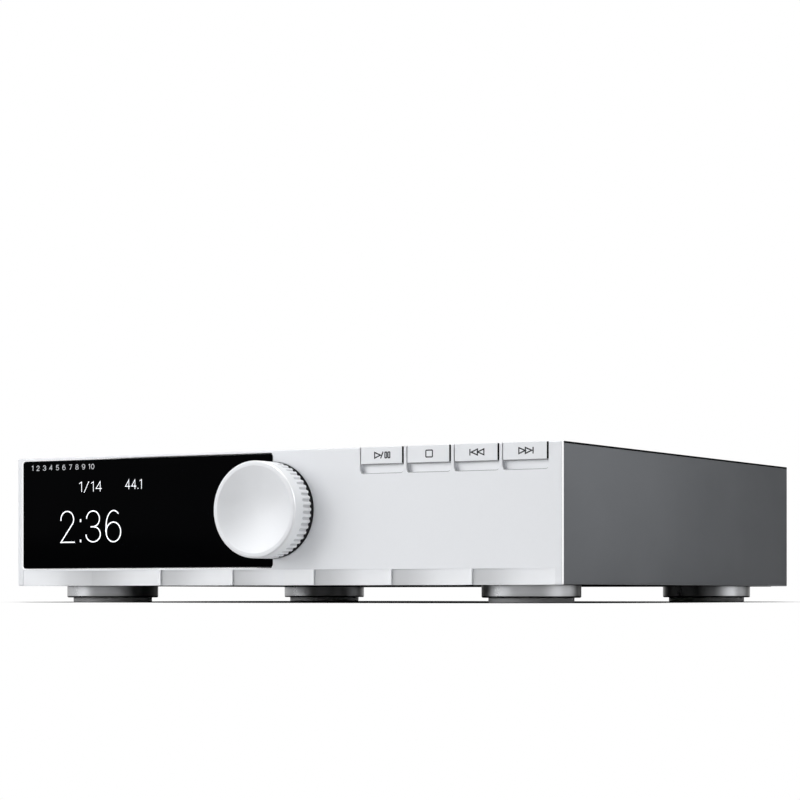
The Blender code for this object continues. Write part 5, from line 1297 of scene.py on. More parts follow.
class Digits:
    """Thin-line numbers, each drawn in a box one unit wide and high."""

    PROUD = 0.03 * MM
    DOT_WIDTH = 1.4
    NARROW = {":": 0.07, ".": 0.14, "/": 0.8, "1": 0.42, " ": 0.3}

    @staticmethod
    def bowl(centre: Pair, across: float, up: float, start: float, end: float, steps: int = 18) -> Outline:
        """Return an elliptic arc between two angles in degrees."""
        return arc(centre, across, start, end, steps, up / across)

    @classmethod
    def oval(cls, centre: Pair, across: float, up: float, steps: int = 28) -> tuple[Outline, bool]:
        """Return a whole ellipse as a line that joins up."""
        return cls.bowl(centre, across, up, 0, 360, steps)[:-1], True

    @classmethod
    def table(cls) -> dict[str, list[tuple[Outline, bool]]]:
        """Return the lines of each sign, and whether each line joins up."""
        bowl, oval = cls.bowl, cls.oval
        return {
            "0": [oval((0.5, 0.5), 0.47, 0.5)],
            "1": [([(0.0, 0.84), (0.38, 0.99), (0.38, 0.0)], False)],
            "2": [(bowl((0.47, 0.74), 0.43, 0.26, 190, -32) + [(0.04, 0.0), (0.98, 0.0)], False)],
            "3": [
                (bowl((0.48, 0.745), 0.43, 0.255, 178, -86) + [(0.32, 0.49)], False),
                (bowl((0.49, 0.25), 0.48, 0.245, 84, -178), False),
            ],
            "4": [([(0.72, 0.0), (0.72, 1.0), (0.02, 0.3), (1.0, 0.3)], False)],
            "5": [
                ([(0.9, 1.0), (0.2, 1.0), (0.12, 0.55)] + bowl((0.48, 0.32), 0.45, 0.32, 140, -165), False),
            ],
            "6": [
                oval((0.51, 0.315), 0.48, 0.315),
                (bowl((0.53, 0.52), 0.5, 0.48, 52, 180) + [(0.03, 0.32)], False),
            ],
            "7": [([(0.04, 1.0), (0.96, 1.0), (0.36, 0.0)], False)],
            "8": [oval((0.5, 0.75), 0.38, 0.25, 24), oval((0.5, 0.26), 0.47, 0.26, 24)],
            "9": [
                oval((0.49, 0.685), 0.48, 0.315),
                (bowl((0.47, 0.48), 0.5, 0.48, -128, 0) + [(0.97, 0.68)], False),
            ],
            "/": [([(0.0, -0.08), (0.8, 1.04)], False)],
            ":": [([(0.04, 0.0), (0.04, 0.08)], False), ([(0.04, 0.65), (0.04, 0.74)], False)],
            ".": [([(0.07, 0.0), (0.07, 0.1)], False)],
        }

    @classmethod
    def write(
        cls, shape: Shape, text: str, start: Pair, size: Pair, gap: float, pen: float, face: float,
    ) -> None:
        """Draw a line of numbers, with its sizes in millimetres.

        Args:
            shape: Shape to draw into.
            text: Signs to draw.
            start: Left end and foot of the line, as X and Z.
            size: Width and height of one number.
            gap: Room between two signs.
            pen: Width of the strokes.
            face: Surface that the line lies on, along Y, in metres.
        """
        glyphs = cls.table()
        left, base = start
        for sign in text:
            width = pen * MM * (cls.DOT_WIDTH if sign in ":." else 1.0)
            for line, closed in glyphs.get(sign, []):
                spots = [((left + across * size[0]) * MM, (base + up * size[1]) * MM) for across, up in line]
                shape.stroke(spots, width, face - cls.PROUD, face + cls.PROUD, closed)
            left += size[0] * cls.NARROW.get(sign, 1.0) + gap


@dataclass
class Display:
    """The black glass with its lit numbers, and the display behind it.

    A line of numbers is its text, its left end and foot, a number's size, the
    gap between two numbers and the width of the strokes, in millimetres.
    """

    gap: float = 0.3 * MM
    growth: float = 0.12 * MM
    edge: float = 0.05 * MM
    bright: tuple[Line, ...] = (
        ("2:36", (-107.4, 25.4), (7.85, 13.1), 2.55, 0.46),
        ("1/14", (-97.3, 46.6), (3.1, 4.2), 1.2, 0.23),
        ("44.1", (-73.3, 47.3), (2.45, 3.9), 0.7, 0.22),
    )
    dim: tuple[Line, ...] = (("1 2 3 4 5 6 7 8 9 10", (-122.6, 56.2), (1.5, 2.0), 0.75, 0.26),)

    def build(self) -> None:
        """Build the glass and the numbers."""
        low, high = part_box("display_window")
        outline = rounded(*grown((low.x, low.z), (WINDOW_END, high.z), self.growth), [WINDOW_CORNER] * 4)
        glass = Shape().prism(Axis.Y, outline, low.y, high.y).build("window_glass", WINDOW_BLACK)
        bite = circle(knob_centre(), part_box("knob_plate")[1].x + self.gap, 128)
        carve(glass, [Shape().prism(Axis.Y, bite, low.y - self.gap, high.y + self.gap)])
        soften(glass, self.edge)
        fit(glass, "case", WINDOW_BLACK, "display_window")
        self.numbers()
        coat(BLACK_PLASTIC, "display_module")

    def numbers(self) -> None:
        """Draw the elapsed time, the track, the sampling rate and the row of tracks."""
        for name, lines, finish in (
            ("display_numbers", self.bright, SEGMENTS_LIT), ("display_tracks", self.dim, SEGMENTS_DIM),
        ):
            shape = Shape()
            for line in lines:
                Digits.write(shape, *line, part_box("display_window")[0].y)
            shape.place(name, finish, "case")


@dataclass
class Knob:
    """The dished knob with its fluted rear band, over a black plate."""

    radius: float = 19.5 * MM
    rim: float = 2.1 * MM
    edge: float = 0.8 * MM
    dish: float = 3.9 * MM
    dish_rows: int = 24
    lip: Pairs = ((-0.06 * MM, 0.1 * MM), (0.1 * MM, 0.01 * MM))
    # Width of the rim's painted highlight.
    shine: float = 0.25 * MM
    band: float = 6.4 * MM
    band_rows: int = 12
    band_lead: float = 0.3 * MM
    back_chamfer: float = 0.25 * MM
    flute_depth: float = 0.6 * MM
    flute_run: float = 1.1 * MM
    flute_half_width: float = 0.34
    flutes: int = 50
    points_per_flute: int = 8
    groove_start: float = 0.5 * MM
    wall: float = 3.0 * MM
    web: float = 4.5 * MM
    plate_gap: float = 0.15 * MM
    plate_edge: float = 0.2 * MM

    def profile(self, front: float, back: float) -> Outline:
        """Section of the knob from its middle to the hollow at its back.

        Args:
            front: Front of the rim, along Y.
            back: Back of the knob, along Y.

        Returns:
            Radius and place of each row.
        """
        radius, bowl, hollow = self.radius, self.radius - self.rim, self.radius - self.wall
        shares = [step / self.dish_rows for step in range(self.dish_rows)]
        points = [(bowl * share, front + self.dish * (1 - share * share)) for share in shares]
        points += [(bowl + across, front + drop) for across, drop in self.lip]
        points += arc((radius - self.edge, front + self.edge), self.edge, -90.0, 0.0, 8)
        start, length = back - self.band, self.band - self.back_chamfer
        points.append((radius, start - self.band_lead))
        points += [(radius, start + length * step / self.band_rows) for step in range(self.band_rows + 1)]
        points += [(radius - self.back_chamfer, back), (hollow, back), (hollow, front + self.web)]
        return points + [(0.0, front + self.web)]

    def build(self) -> None:
        """Build the knob and dress the plate, nut and shaft."""
        low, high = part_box("knob")
        radius, knob_z, start = self.radius, (low.z + high.z) / 2, high.y - self.band

        def ripple(reach: float, along: float, angle: float) -> float:
            """Return the radius with the flutes pressed in."""
            if along < start or reach < radius - self.band_lead:
                return reach
            run = min(1.0, (along - start) / self.flute_run)
            phase = (angle * self.flutes / math.tau) % 1.0
            groove = max(0.0, 1 - abs(phase - 0.5) / self.flute_half_width)
            return reach - self.flute_depth * math.sin(groove * math.pi / 2) * math.sqrt(run)

        def out(spot: Vector) -> float:
            """Return a place's distance from the knob's axis."""
            return math.hypot(spot.x, spot.z - knob_z)

        def side(spot: Vector, normal: Vector) -> bool:
            """Tell the side of the knob, flutes included, which takes a lighter copy of the metal as painted
            light.
            """
            return abs(normal.y) < 0.6 and out(spot) > radius - 2 * self.flute_depth

        def painted_highlight_rim(spot: Vector, normal: Vector) -> bool:
            """Tell the outer part of the rim's rounding, which takes a painted highlight."""
            return spot.y < low.y + self.edge and out(spot) > radius - self.shine

        def painted_shade_groove(spot: Vector, normal: Vector) -> bool:
            """Tell the floors of the flutes, which are painted darker as shade."""
            along = start + self.groove_start < spot.y < high.y - self.back_chamfer
            return along and radius - self.wall < out(spot) < radius - 0.55 * self.flute_depth

        steps = self.flutes * self.points_per_flute
        shape = Shape().turn(Axis.Y, (0.0, knob_z), self.profile(low.y, high.y), steps, ripple=ripple)
        knob = shape.build("knob_body", KNOB_METAL, 28.0, (0.0, low.y, knob_z))
        # Painted light on the side, a painted highlight on the rim's edge and painted shade in the flutes.
        for finish, test in ((KNOB_SIDE_PAINTED_LIGHT, side), (KNOB_EDGE_PAINTED_HIGHLIGHT, painted_highlight_rim), (KNOB_GROOVE_PAINTED_SHADE, painted_shade_groove)):
            paint(knob, finish, test)
        fit(knob, "knob", KNOB_METAL, "knob")
        self.backplate(knob_z)
        coat(STEEL, "encoder_body", "encoder_nut", "encoder_shaft")
        coat(BLACK_PLASTIC, "encoder_plunger")

    def backplate(self, knob_z: float) -> None:
        """Build the black plate round the bushing.

        Args:
            knob_z: Height of the knob's axis.
        """
        low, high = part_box("knob_plate")
        radius, edge, bore = high.x - self.plate_gap, self.plate_edge, BUSHING_BORE
        profile = [
            (bore, low.y), (radius - edge, low.y), (radius - edge * 0.3, low.y + edge * 0.3),
            (radius, low.y + edge), (radius, high.y), (bore, high.y),
        ]
        shape = Shape().turn(Axis.Y, (0.0, knob_z), profile, 128, ring=True)
        shape.place("knob_backplate", BLACK_PLASTIC, "case", "knob_plate")


@dataclass
class Feet:
    """Four turned discs with painted reflections in their metal, and rubber pads let into them."""

    rounding: float = 0.7 * MM
    lip: float = 0.5 * MM
    gap: float = 0.3 * MM
    pad_edge: float = 0.3 * MM
    steps: int = 128
    # Painted reflections: colour levels at shares of a turn round each foot's axis; the far side is shared,
    # the near side is set for each corner in turn.
    far_painted_reflections: Pairs = ((0.63, 0.1), (0.75, 0.45), (0.88, 0.16), (1.0, 0.3))
    painted_reflections: tuple[Pairs, ...] = (
        ((0.09, 0.2), (0.2, 0.5), (0.24, 0.5), (0.28, 0.3), (0.37, 0.3), (0.47, 0.03), (0.56, 0.01)),
        ((0.13, 0.0), (0.19, 0.52), (0.25, 0.4), (0.35, 0.36), (0.41, 0.7), (0.45, 0.5), (0.51, 0.01)),
        ((0.1, 0.18), (0.16, 0.34), (0.27, 0.4), (0.32, 0.25), (0.45, 0.23), (0.51, 0.01)),
        ((0.13, 0.0), (0.2, 0.09), (0.34, 0.12), (0.41, 0.75), (0.45, 0.35), (0.51, 0.01)),
    )

    def build(self) -> None:
        """Build each foot round its own axis."""
        for corner, near_painted_reflections in zip(CORNERS, self.painted_reflections):
            disc, pad = f"foot_disc_{corner}", f"foot_pad_{corner}"
            (low, high), (pad_low, pad_high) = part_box(disc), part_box(pad)
            centre, axis = middle(disc), tuple(middle(disc))[:2]
            radius, pad_radius = (high.x - low.x) / 2, (pad_high.x - pad_low.x) / 2
            hollow, ceiling, edge = pad_radius + self.gap, pad_high.z + self.gap, self.pad_edge
            profile = [(0.0, ceiling), (hollow, ceiling), (hollow, low.z)]
            profile += arc((radius - self.rounding, low.z + self.rounding), self.rounding, -90.0, 0.0, 6)
            profile.append((radius, high.z - 2 * self.lip))
            profile += arc((radius - self.lip, high.z - self.lip), self.lip, 0.0, 90.0, 4) + [(0.0, high.z)]
            # Each foot's metal colour carries its own painted reflections.
            painted_reflections = ((0.0, 0.3), *near_painted_reflections, *self.far_painted_reflections)
            metal = replace(SPUN_METAL_PAINTED_REFLECTIONS, name=f"spun_metal_{corner}", painted_reflections=painted_reflections)
            shape = Shape().turn(Axis.Z, axis, profile, self.steps)
            shape.place(f"{corner}_foot", metal, "case", disc, crease=40.0, origin=tuple(centre))
            profile = [(0.0, 0.0), (pad_radius - edge, 0.0), (pad_radius, edge), (pad_radius, pad_high.z)]
            shape = Shape().turn(Axis.Z, axis, profile + [(0.0, pad_high.z)], self.steps)
            shape.place(f"{corner}_pad", RUBBER, "case", pad, crease=30.0)


@dataclass
class Screws:
    """Pan-head screws with a cross recess, one mesh shared by all."""

    radius: float = 2.6 * MM
    height: float = 1.3 * MM
    side: float = 0.35
    crown: float = 0.55
    slot: Pair = (0.7 * MM, 3.2 * MM)
    spin: float = 37.0
    made: list[Piece] = field(default_factory=list)

    def head(self) -> Piece:
        """Return a screw head at the origin, its top facing up."""
        floor, top = self.height * self.side, self.height * 2
        profile = [(0.0, 0.0), (self.radius, 0.0), (self.radius, floor)]
        for step in range(1, 7):
            angle = math.pi / 2 * step / 6
            rise = self.height * (self.side + (1 - self.side) * math.sin(angle))
            profile.append((self.radius * (self.crown + (1 - self.crown) * math.cos(angle)), rise))
        profile.append((0.0, self.height))
        head = Shape().turn(Axis.Z, (0.0, 0.0), profile, 40).build("screw_pattern", SCREW_STEEL)
        wide, long = self.slot[0] / 2, self.slot[1] / 2
        first = Shape().box((-wide, -long, floor), (wide, long, top))
        second = Shape().box((-long, -wide, floor), (long, wide, top))
        return even(carve(head, [first, second]))

    def place(self, name: str, spot: Place, facing: Axis, scale: float) -> None:
        """Put a screw on a surface of the case.

        Args:
            name: Name of the screw.
            spot: Middle of its underside.
            facing: Y for a screw facing the rear, Z for one facing down.
            scale: Size against the pattern.
        """
        if not self.made:
            self.made.append(self.head())
            self.made[0].hide_render = True
        screw = bpy.data.objects.new(name, self.made[0].data)
        bpy.context.scene.collection.objects.link(screw)
        turned = Matrix.Rotation(-math.pi / 2 if facing is Axis.Y else math.pi, 4, "X")
        spin = Matrix.Rotation(spot[0] * self.spin, 4, "Z")
        screw.matrix_world = Matrix.Translation(Vector(spot)) @ turned @ spin @ Matrix.Scale(scale, 4)
        fit(screw, "case", SCREW_STEEL)

    def drop_pattern(self) -> None:
        """Remove the pattern once every screw has its mesh."""
        for pattern in self.made:
            bpy.data.objects.remove(pattern, do_unlink=True)


@dataclass
class Flanged:
    """A part let into the rear panel, with a flange outside and a body behind it."""

    corner: float
    body: Pair
    body_corner: float
    flange: float = 2.0 * MM
    sink: float = 0.5 * MM
    edge: float = 0.25 * MM

    def shell(self, node: str, name: str) -> Piece:
        """Build the flange and the body.

        Args:
            node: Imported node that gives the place.
            name: Name of the piece.

        Returns:
            The piece, still without its hollow.
        """
        low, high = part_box(node)
        seat = high.y - self.flange
        rim = rounded((low.x, low.z), (high.x, high.z), (self.corner,) * 4)
        shell = Shape().prism(Axis.Y, rim, seat, high.y).build(name, BLACK_PLASTIC)
        body = plate(tuple(middle(node).xz), self.body, self.body_corner)
        return carve(shell, [Shape().prism(Axis.Y, body, low.y, seat + self.sink)], "UNION")

    def hollow(self, shell: Piece, node: str, outline: Outline, depth: float) -> None:
        """Cut the shell's hollow, round its edges and put it in its node's place.

        Args:
            shell: Flange and body.
            node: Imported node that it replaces.
            outline: Outline of the hollow.
            depth: Depth of the hollow from the flange's face.
        """
        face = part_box(node)[1].y
        carve(shell, [Shape().prism(Axis.Y, outline, face - depth, face + OVERRUN)])
        fit(soften(shell, self.edge), "case", BLACK_PLASTIC, node)


@dataclass
class Inlet(Flanged):
    """The mains inlet with its keyed cavity and three bright blades."""

    corner: float = 2.5 * MM
    body: Pair = (13.7 * MM, 10.2 * MM)
    body_corner: float = 0.5 * MM
    cavity: Pair = (12.2 * MM, 8.3 * MM)
    cant: float = 4.5 * MM
    depth: float = 17.0 * MM
    blade: Pair = (1.0 * MM, 2.0 * MM)
    blade_corner: float = 0.2 * MM
    blade_length: float = 14.0 * MM
    blade_edge: float = 0.3 * MM
    pitch: float = 7.0 * MM
    stagger: float = 1.5 * MM

    def build(self) -> None:
        """Build the shell and the blades."""
        centre, floor = tuple(middle("mains_inlet").xz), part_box("mains_inlet")[1].y - self.depth
        left, right = centre[0] - self.cavity[0], centre[0] + self.cavity[0]
        foot, top = centre[1] - self.cavity[1], centre[1] + self.cavity[1]
        keyed = [
            (left, foot), (right, foot), (right, top - self.cant), (right - self.cant, top),
            (left + self.cant, top), (left, top - self.cant),
        ]
        self.hollow(self.shell("mains_inlet", "inlet_shell"), "mains_inlet", keyed, self.depth)
        blades = Shape()
        for across, up in ((-1, -1), (0, 1), (1, -1)):
            spot = (centre[0] + across * self.pitch, centre[1] + up * self.stagger)
            outline = plate(spot, self.blade, self.blade_corner, 2)
            blades.prism(Axis.Y, outline, floor - self.sink, floor + self.blade_length)
        fit(soften(blades.build("inlet_blades", STEEL), self.blade_edge), "case", STEEL)


@dataclass
class Switch(Flanged):
    """The mains switch: its frame, the rocker and the two signs on the rocker."""

    corner: float = 1.2 * MM
    body: Pair = (6.5 * MM, 9.7 * MM)
    body_corner: float = 0.3 * MM
    opening: Pair = (5.5 * MM, 8.7 * MM)
    depth: float = 11.0 * MM
    pivot: float = 4.6 * MM
    half: float = 8.1 * MM
    thick: float = 3.5 * MM
    root: float = 2.7 * MM
    dish: float = 1.5 * MM
    dish_steps: int = 8
    across: float = 5.2 * MM
    lean: float = math.radians(8.0)
    sign_share: float = 0.55
    ink: Pair = (0.35 * MM, 0.12 * MM)
    dash_half: float = 1.2 * MM
    dash_width: float = 0.45 * MM
    ring_radius: float = 1.15 * MM
    ring_width: float = 0.4 * MM

    def build(self) -> None:
        """Build the frame, then the rocker at its off side."""
        centre, shell = tuple(middle("switch_housing").xz), self.shell("switch_housing", "switch_frame")
        self.hollow(shell, "switch_housing", plate(centre, self.opening), self.depth)
        self.rocker(centre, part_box("switch_housing")[1].y)

    def rocker(self, centre: Pair, face: float) -> None:
        """Build the rocker with its dished face, and print its signs.

        Args:
            centre: Middle of the housing, as X and Z.
            face: Face of the housing's flange, along Y.
        """
        shares = [step / self.dish_steps - 1 for step in range(2 * self.dish_steps + 1)]
        top = [(self.thick - self.dish * (1 - share ** 2), self.half * share) for share in shares]
        side = [(-self.thick, -self.root), (0.0, -self.half)] + top
        side += [(0.0, self.half), (-self.thick, self.root)]

        def tilt(pair: Pair) -> Pair:
            """Return a point of the section, tilted about the pivot."""
            (out, up), cosine, sine = pair, math.cos(self.lean), math.sin(self.lean)
            return face - self.pivot + out * cosine + up * sine, centre[1] + up * cosine - out * sine

        section = [tilt(pair) for pair in side]
        shape = Shape().prism(Axis.X, section, centre[0] - self.across, centre[0] + self.across)
        rocker = soften(shape.build("rocker_cap", BLACK_PLASTIC), self.edge)
        fit(rocker, "rocker", BLACK_PLASTIC, "power_rocker")
        surface = self.thick - self.dish * (1 - self.sign_share ** 2)
        marks = Shape()
        out, level = tilt((surface, self.sign_share * self.half))
        dash = [(centre[0], level - self.dash_half), (centre[0], level + self.dash_half)]
        marks.stroke(dash, self.dash_width, out - self.ink[0], out + self.ink[1])
        out, level = tilt((surface, -self.sign_share * self.half))
        ring = circle((centre[0], level), self.ring_radius, 24)
        marks.stroke(ring, self.ring_width, out - self.ink[0], out + self.ink[1], True)
        marks.place("rocker_marks", PALE_INK, "rocker")


@dataclass
class Jack:
    """A phono socket with a threaded barrel, a coloured ring and a nut.

    Rows and flat rings of turned pieces are in millimetres.
    """

    node: str
    ring: Finish
    radius: float = 4.15 * MM
    seat_gap: float = 0.3 * MM
    root: float = 9.0 * MM
    turns: int = 9
    groove: float = 0.22 * MM
    flange: Pairs = ((6.5, 0.0), (6.5, 0.9), (6.2, 1.2))
    flange_height: float = 1.2 * MM
    thread_start: float = 1.4 * MM
    thread_end: float = 0.5 * MM
    last_valley: float = 0.45 * MM
    tip_chamfer: float = 0.35 * MM
    mouth: Pairs = ((3.3, 0.0), (3.1, -0.8), (0.0, -0.8))
    collar: Ring = (1.9, 3.1, -0.9, -0.25)
    sleeve: Ring = (1.35, 1.85, -0.7, -0.1)
    bore: Ring = (0.0, 1.34, -0.78, -0.6)
    nut_radius: float = 5.6 * MM
    nut_span: Pair = (1.2 * MM, 3.0 * MM)
    nut_edge: float = 0.2 * MM

    def profile(self, base: float, seat: float, tip: float) -> Outline:
        """Section of the threaded barrel.

        Args:
            base: Inner end of the socket, along Y.
            seat: Face of the panel's outside, along Y.
            tip: Outer end, along Y.

        Returns:
            Radius and place of each row.
        """
        radius, valley, start = self.radius, self.radius - self.groove, seat + self.thread_start
        points = [(0.0, base + self.root), (radius, base + self.root), (radius, seat)]
        points += rows(seat, self.flange) + [(radius, seat + self.flange_height)]
        pitch = (tip - self.thread_end - start) / self.turns
        for number in range(self.turns):
            points += [(valley, start + pitch * number), (radius, start + pitch * (number + 0.5))]
        points += [(valley, tip - self.last_valley), (radius - self.tip_chamfer, tip)]
        return points + rows(tip, self.mouth)

    def build(self) -> None:
        """Build the socket at its node's place."""
        low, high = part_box(self.node)
        place, tip = middle(self.node), high.y
        centre, seat = tuple(place.xz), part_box("rear_panel")[1].y + self.seat_gap
        barrel = Shape().turn(Axis.Y, centre, self.profile(low.y, seat, tip), 72)
        origin = (place.x, 0.0, place.z)
        barrel.place(f"{self.node}_barrel", GOLD, "case", self.node, crease=26.0, origin=origin)
        collar = Shape().turn(Axis.Y, centre, washer(tip, self.collar), 64, ring=True)
        collar.place(f"{self.node}_ring", self.ring, "case")
        sleeve = Shape().turn(Axis.Y, centre, washer(tip, self.sleeve), 48, ring=True)
        sleeve.place(f"{self.node}_sleeve", GOLD, "case")
        bore = Shape().turn(Axis.Y, centre, washer(tip, self.bore), 48)
        bore.place(f"{self.node}_bore", BLACK_PLASTIC, "case")
        start, end = (seat + reach for reach in self.nut_span)
        nut = Shape().prism(Axis.Y, around(centre, self.nut_radius, 6), start, end)
        fit(soften(nut.build(f"{self.node}_nut", GOLD), self.nut_edge), "case", GOLD)


@dataclass
class Rear:
    """The rear panel with its inlet, switch, sockets and screws."""

    screws: Screws
    edge: float = 0.1 * MM
    hole_corner: float = 0.5 * MM
    inlet_trim: Pair = (1.5 * MM, 1.5 * MM)
    switch_trim: Pair = (0.7 * MM, 0.5 * MM)
    jack_hole: float = 4.45 * MM
    screw_inset: float = 4.5 * MM
    screw_columns: tuple[float, ...] = (-0.93, -0.31, 0.31, 0.93)
    screw_scale: float = 0.75
    inlet_screw: float = 14.4 * MM
    inlet_screw_scale: float = 0.42

    def build(self) -> None:
        """Build everything on the rear."""
        rings = (("rca_left", WHITE_PLASTIC), ("rca_right", RED_PLASTIC), ("coax_out", ORANGE_PLASTIC))
        jacks = [Jack(node, ring) for node, ring in rings]
        self.panel([jack.node for jack in jacks])
        for part in (Inlet(), Switch(), *jacks):
            part.build()
        low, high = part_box("rear_panel")
        levels = (high.z - self.screw_inset, low.z + self.screw_inset)
        spots = [(across * high.x, high.y, level) for across in self.screw_columns for level in levels]
        for number, spot in enumerate(spots):
            self.screws.place(f"rear_screw_{number}", spot, Axis.Y, self.screw_scale)
        inlet, face = middle("mains_inlet"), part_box("mains_inlet")[1].y
        for name, side in (("inlet_screw_left", -1), ("inlet_screw_right", 1)):
            spot = (inlet.x + side * self.inlet_screw, face, inlet.z)
            self.screws.place(name, spot, Axis.Y, self.inlet_screw_scale)

    def panel(self, jacks: Sequence[str]) -> None:
        """Build the rear wall with its holes.

        Args:
            jacks: Nodes of the round sockets.
        """
        low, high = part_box("rear_panel")
        panel = Shape().box(low, high).build("rear_wall", GRAPHITE)
        outlines = []
        for node, (across, up) in (("mains_inlet", self.inlet_trim), ("switch_housing", self.switch_trim)):
            inner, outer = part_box(node)
            corners = ((inner.x + across, inner.z + up), (outer.x - across, outer.z - up))
            outlines.append(rounded(*corners, (self.hole_corner,) * 4, 3))
        outlines += [circle(tuple(middle(node).xz), self.jack_hole, 64) for node in jacks]
        start, end = low.y - OVERRUN, high.y + OVERRUN
        carve(panel, [Shape().prism(Axis.Y, outline, start, end) for outline in outlines])
        fit(soften(panel, self.edge), "case", GRAPHITE, "rear_panel")


@dataclass
class Lid:
    """The lid with its glass, cup, clamp and pins; the clamp's rows are in millimetres."""

    wall: float = 3.5 * MM
    window_wall: float = 2.0 * MM
    gap: float = 0.3 * MM
    ledge: float = 3.0 * MM
    pin_depth: float = 8.3 * MM
    edge: float = 0.2 * MM
    pane_edge: float = 0.25 * MM
    cup_wall: float = 2.0 * MM
    cup_floor: float = 0.8 * MM
    cup_lip: float = 10.8 * MM
    cup_foot: Pairs = ((0.0, 0.6 * MM), (0.2 * MM, 0.18 * MM), (0.6 * MM, 0.0))
    clamp_top: Pairs = ((0.0, 0.0), (14.2, 0.0), (14.2, -1.6), (10.5, -1.6))
    clamp_foot: Pairs = (
        (10.5, 2.6), (14.0, 2.6), (14.5, 2.1), (14.5, 0.3), (14.2, 0.0), (11.5, 0.0), (11.2, 0.3), (8.6, 0.3),
        (8.3, 0.0), (7.7, 0.0), (7.7, 3.0), (0.0, 3.0),
    )
    magnet_circle: float = 9.95 * MM
    magnet_radius: float = 0.9 * MM
    magnet_span: Pair = (0.1 * MM, 0.35 * MM)

    def build(self) -> None:
        """Build the lid and what rides in it."""
        low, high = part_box("lid_frame")
        window_low, window_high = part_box("lid_window")
        bay = (window_low.y + window_high.y) / 2
        half, radius, edge = high.x, window_high.x, self.pane_edge
        hinge = hinge_axis()
        outline = rounded((-half, low.y), (half, hinge[0]), (LID_CORNER, LID_CORNER, 0, 0), 10)
        frame = Shape().prism(Axis.Z, outline, high.z - self.wall, high.z).build("lid_plate", GRAPHITE)
        carve(frame, [Shape().prism(Axis.X, circle(hinge, HINGE_RADIUS, 64), -half, half)], "UNION")
        seat, ledge, floor = radius + self.gap, radius - self.ledge, high.z - self.window_wall - self.gap
        below, above = low.z - OVERRUN, high.z + OVERRUN
        hole = [(0.0, below), (ledge, below), (ledge, floor), (seat, floor), (seat, above), (0.0, above)]
        bores = pin_bores(half - self.pin_depth, half + OVERRUN)
        carve(frame, [Shape().turn(Axis.Z, (0.0, bay), hole, 192)] + bores)
        fit(soften(frame, self.edge), "lid", GRAPHITE, "lid_frame")
        pane = [
            (0.0, window_low.z), (radius - edge, window_low.z), (radius, window_low.z + edge),
            (radius, high.z - edge), (radius - edge, high.z), (0.0, high.z),
        ]
        Shape().turn(Axis.Z, (0.0, bay), pane, 192).place("lid_glass", SMOKED, "lid", "lid_window")
        self.clamp((0.0, bay))
        coat(STEEL, "hinge_pin_left", "hinge_pin_right")

    def clamp(self, centre: Pair) -> None:
        """Build the cup under the glass and the clamp that spins in it.

        Args:
            centre: Middle of the bay, as X and Y.
        """
        low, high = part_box("clamp_cup")
        outer, inner, lip, floor = high.x, high.x - self.cup_wall, self.cup_lip, self.cup_floor
        profile = [(0.0, high.z), (outer, high.z)]
        profile += [(outer - inset, low.z + rise) for inset, rise in self.cup_foot]
        profile += [(lip, low.z), (lip, low.z + floor), (inner, low.z + floor)]
        profile += [(inner, high.z - floor), (0.0, high.z - floor)]
        Shape().turn(Axis.Z, centre, profile, 96).place("clamp_cage", BLACK_PLASTIC, "lid", "clamp_cup")
        low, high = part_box("disc_clamp")
        profile = rows(high.z, self.clamp_top) + rows(low.z, self.clamp_foot)
        Shape().turn(Axis.Z, centre, profile, 96).place("clamp_disc", IVORY, "clamp", "disc_clamp")
        magnets, (foot, top) = Shape(), self.magnet_span
        for spot in around(centre, self.magnet_circle, 3):
            magnets.prism(Axis.Z, circle(spot, self.magnet_radius, 24), low.z + foot, low.z + top)
        magnets.place("clamp_magnets", STEEL, "clamp")


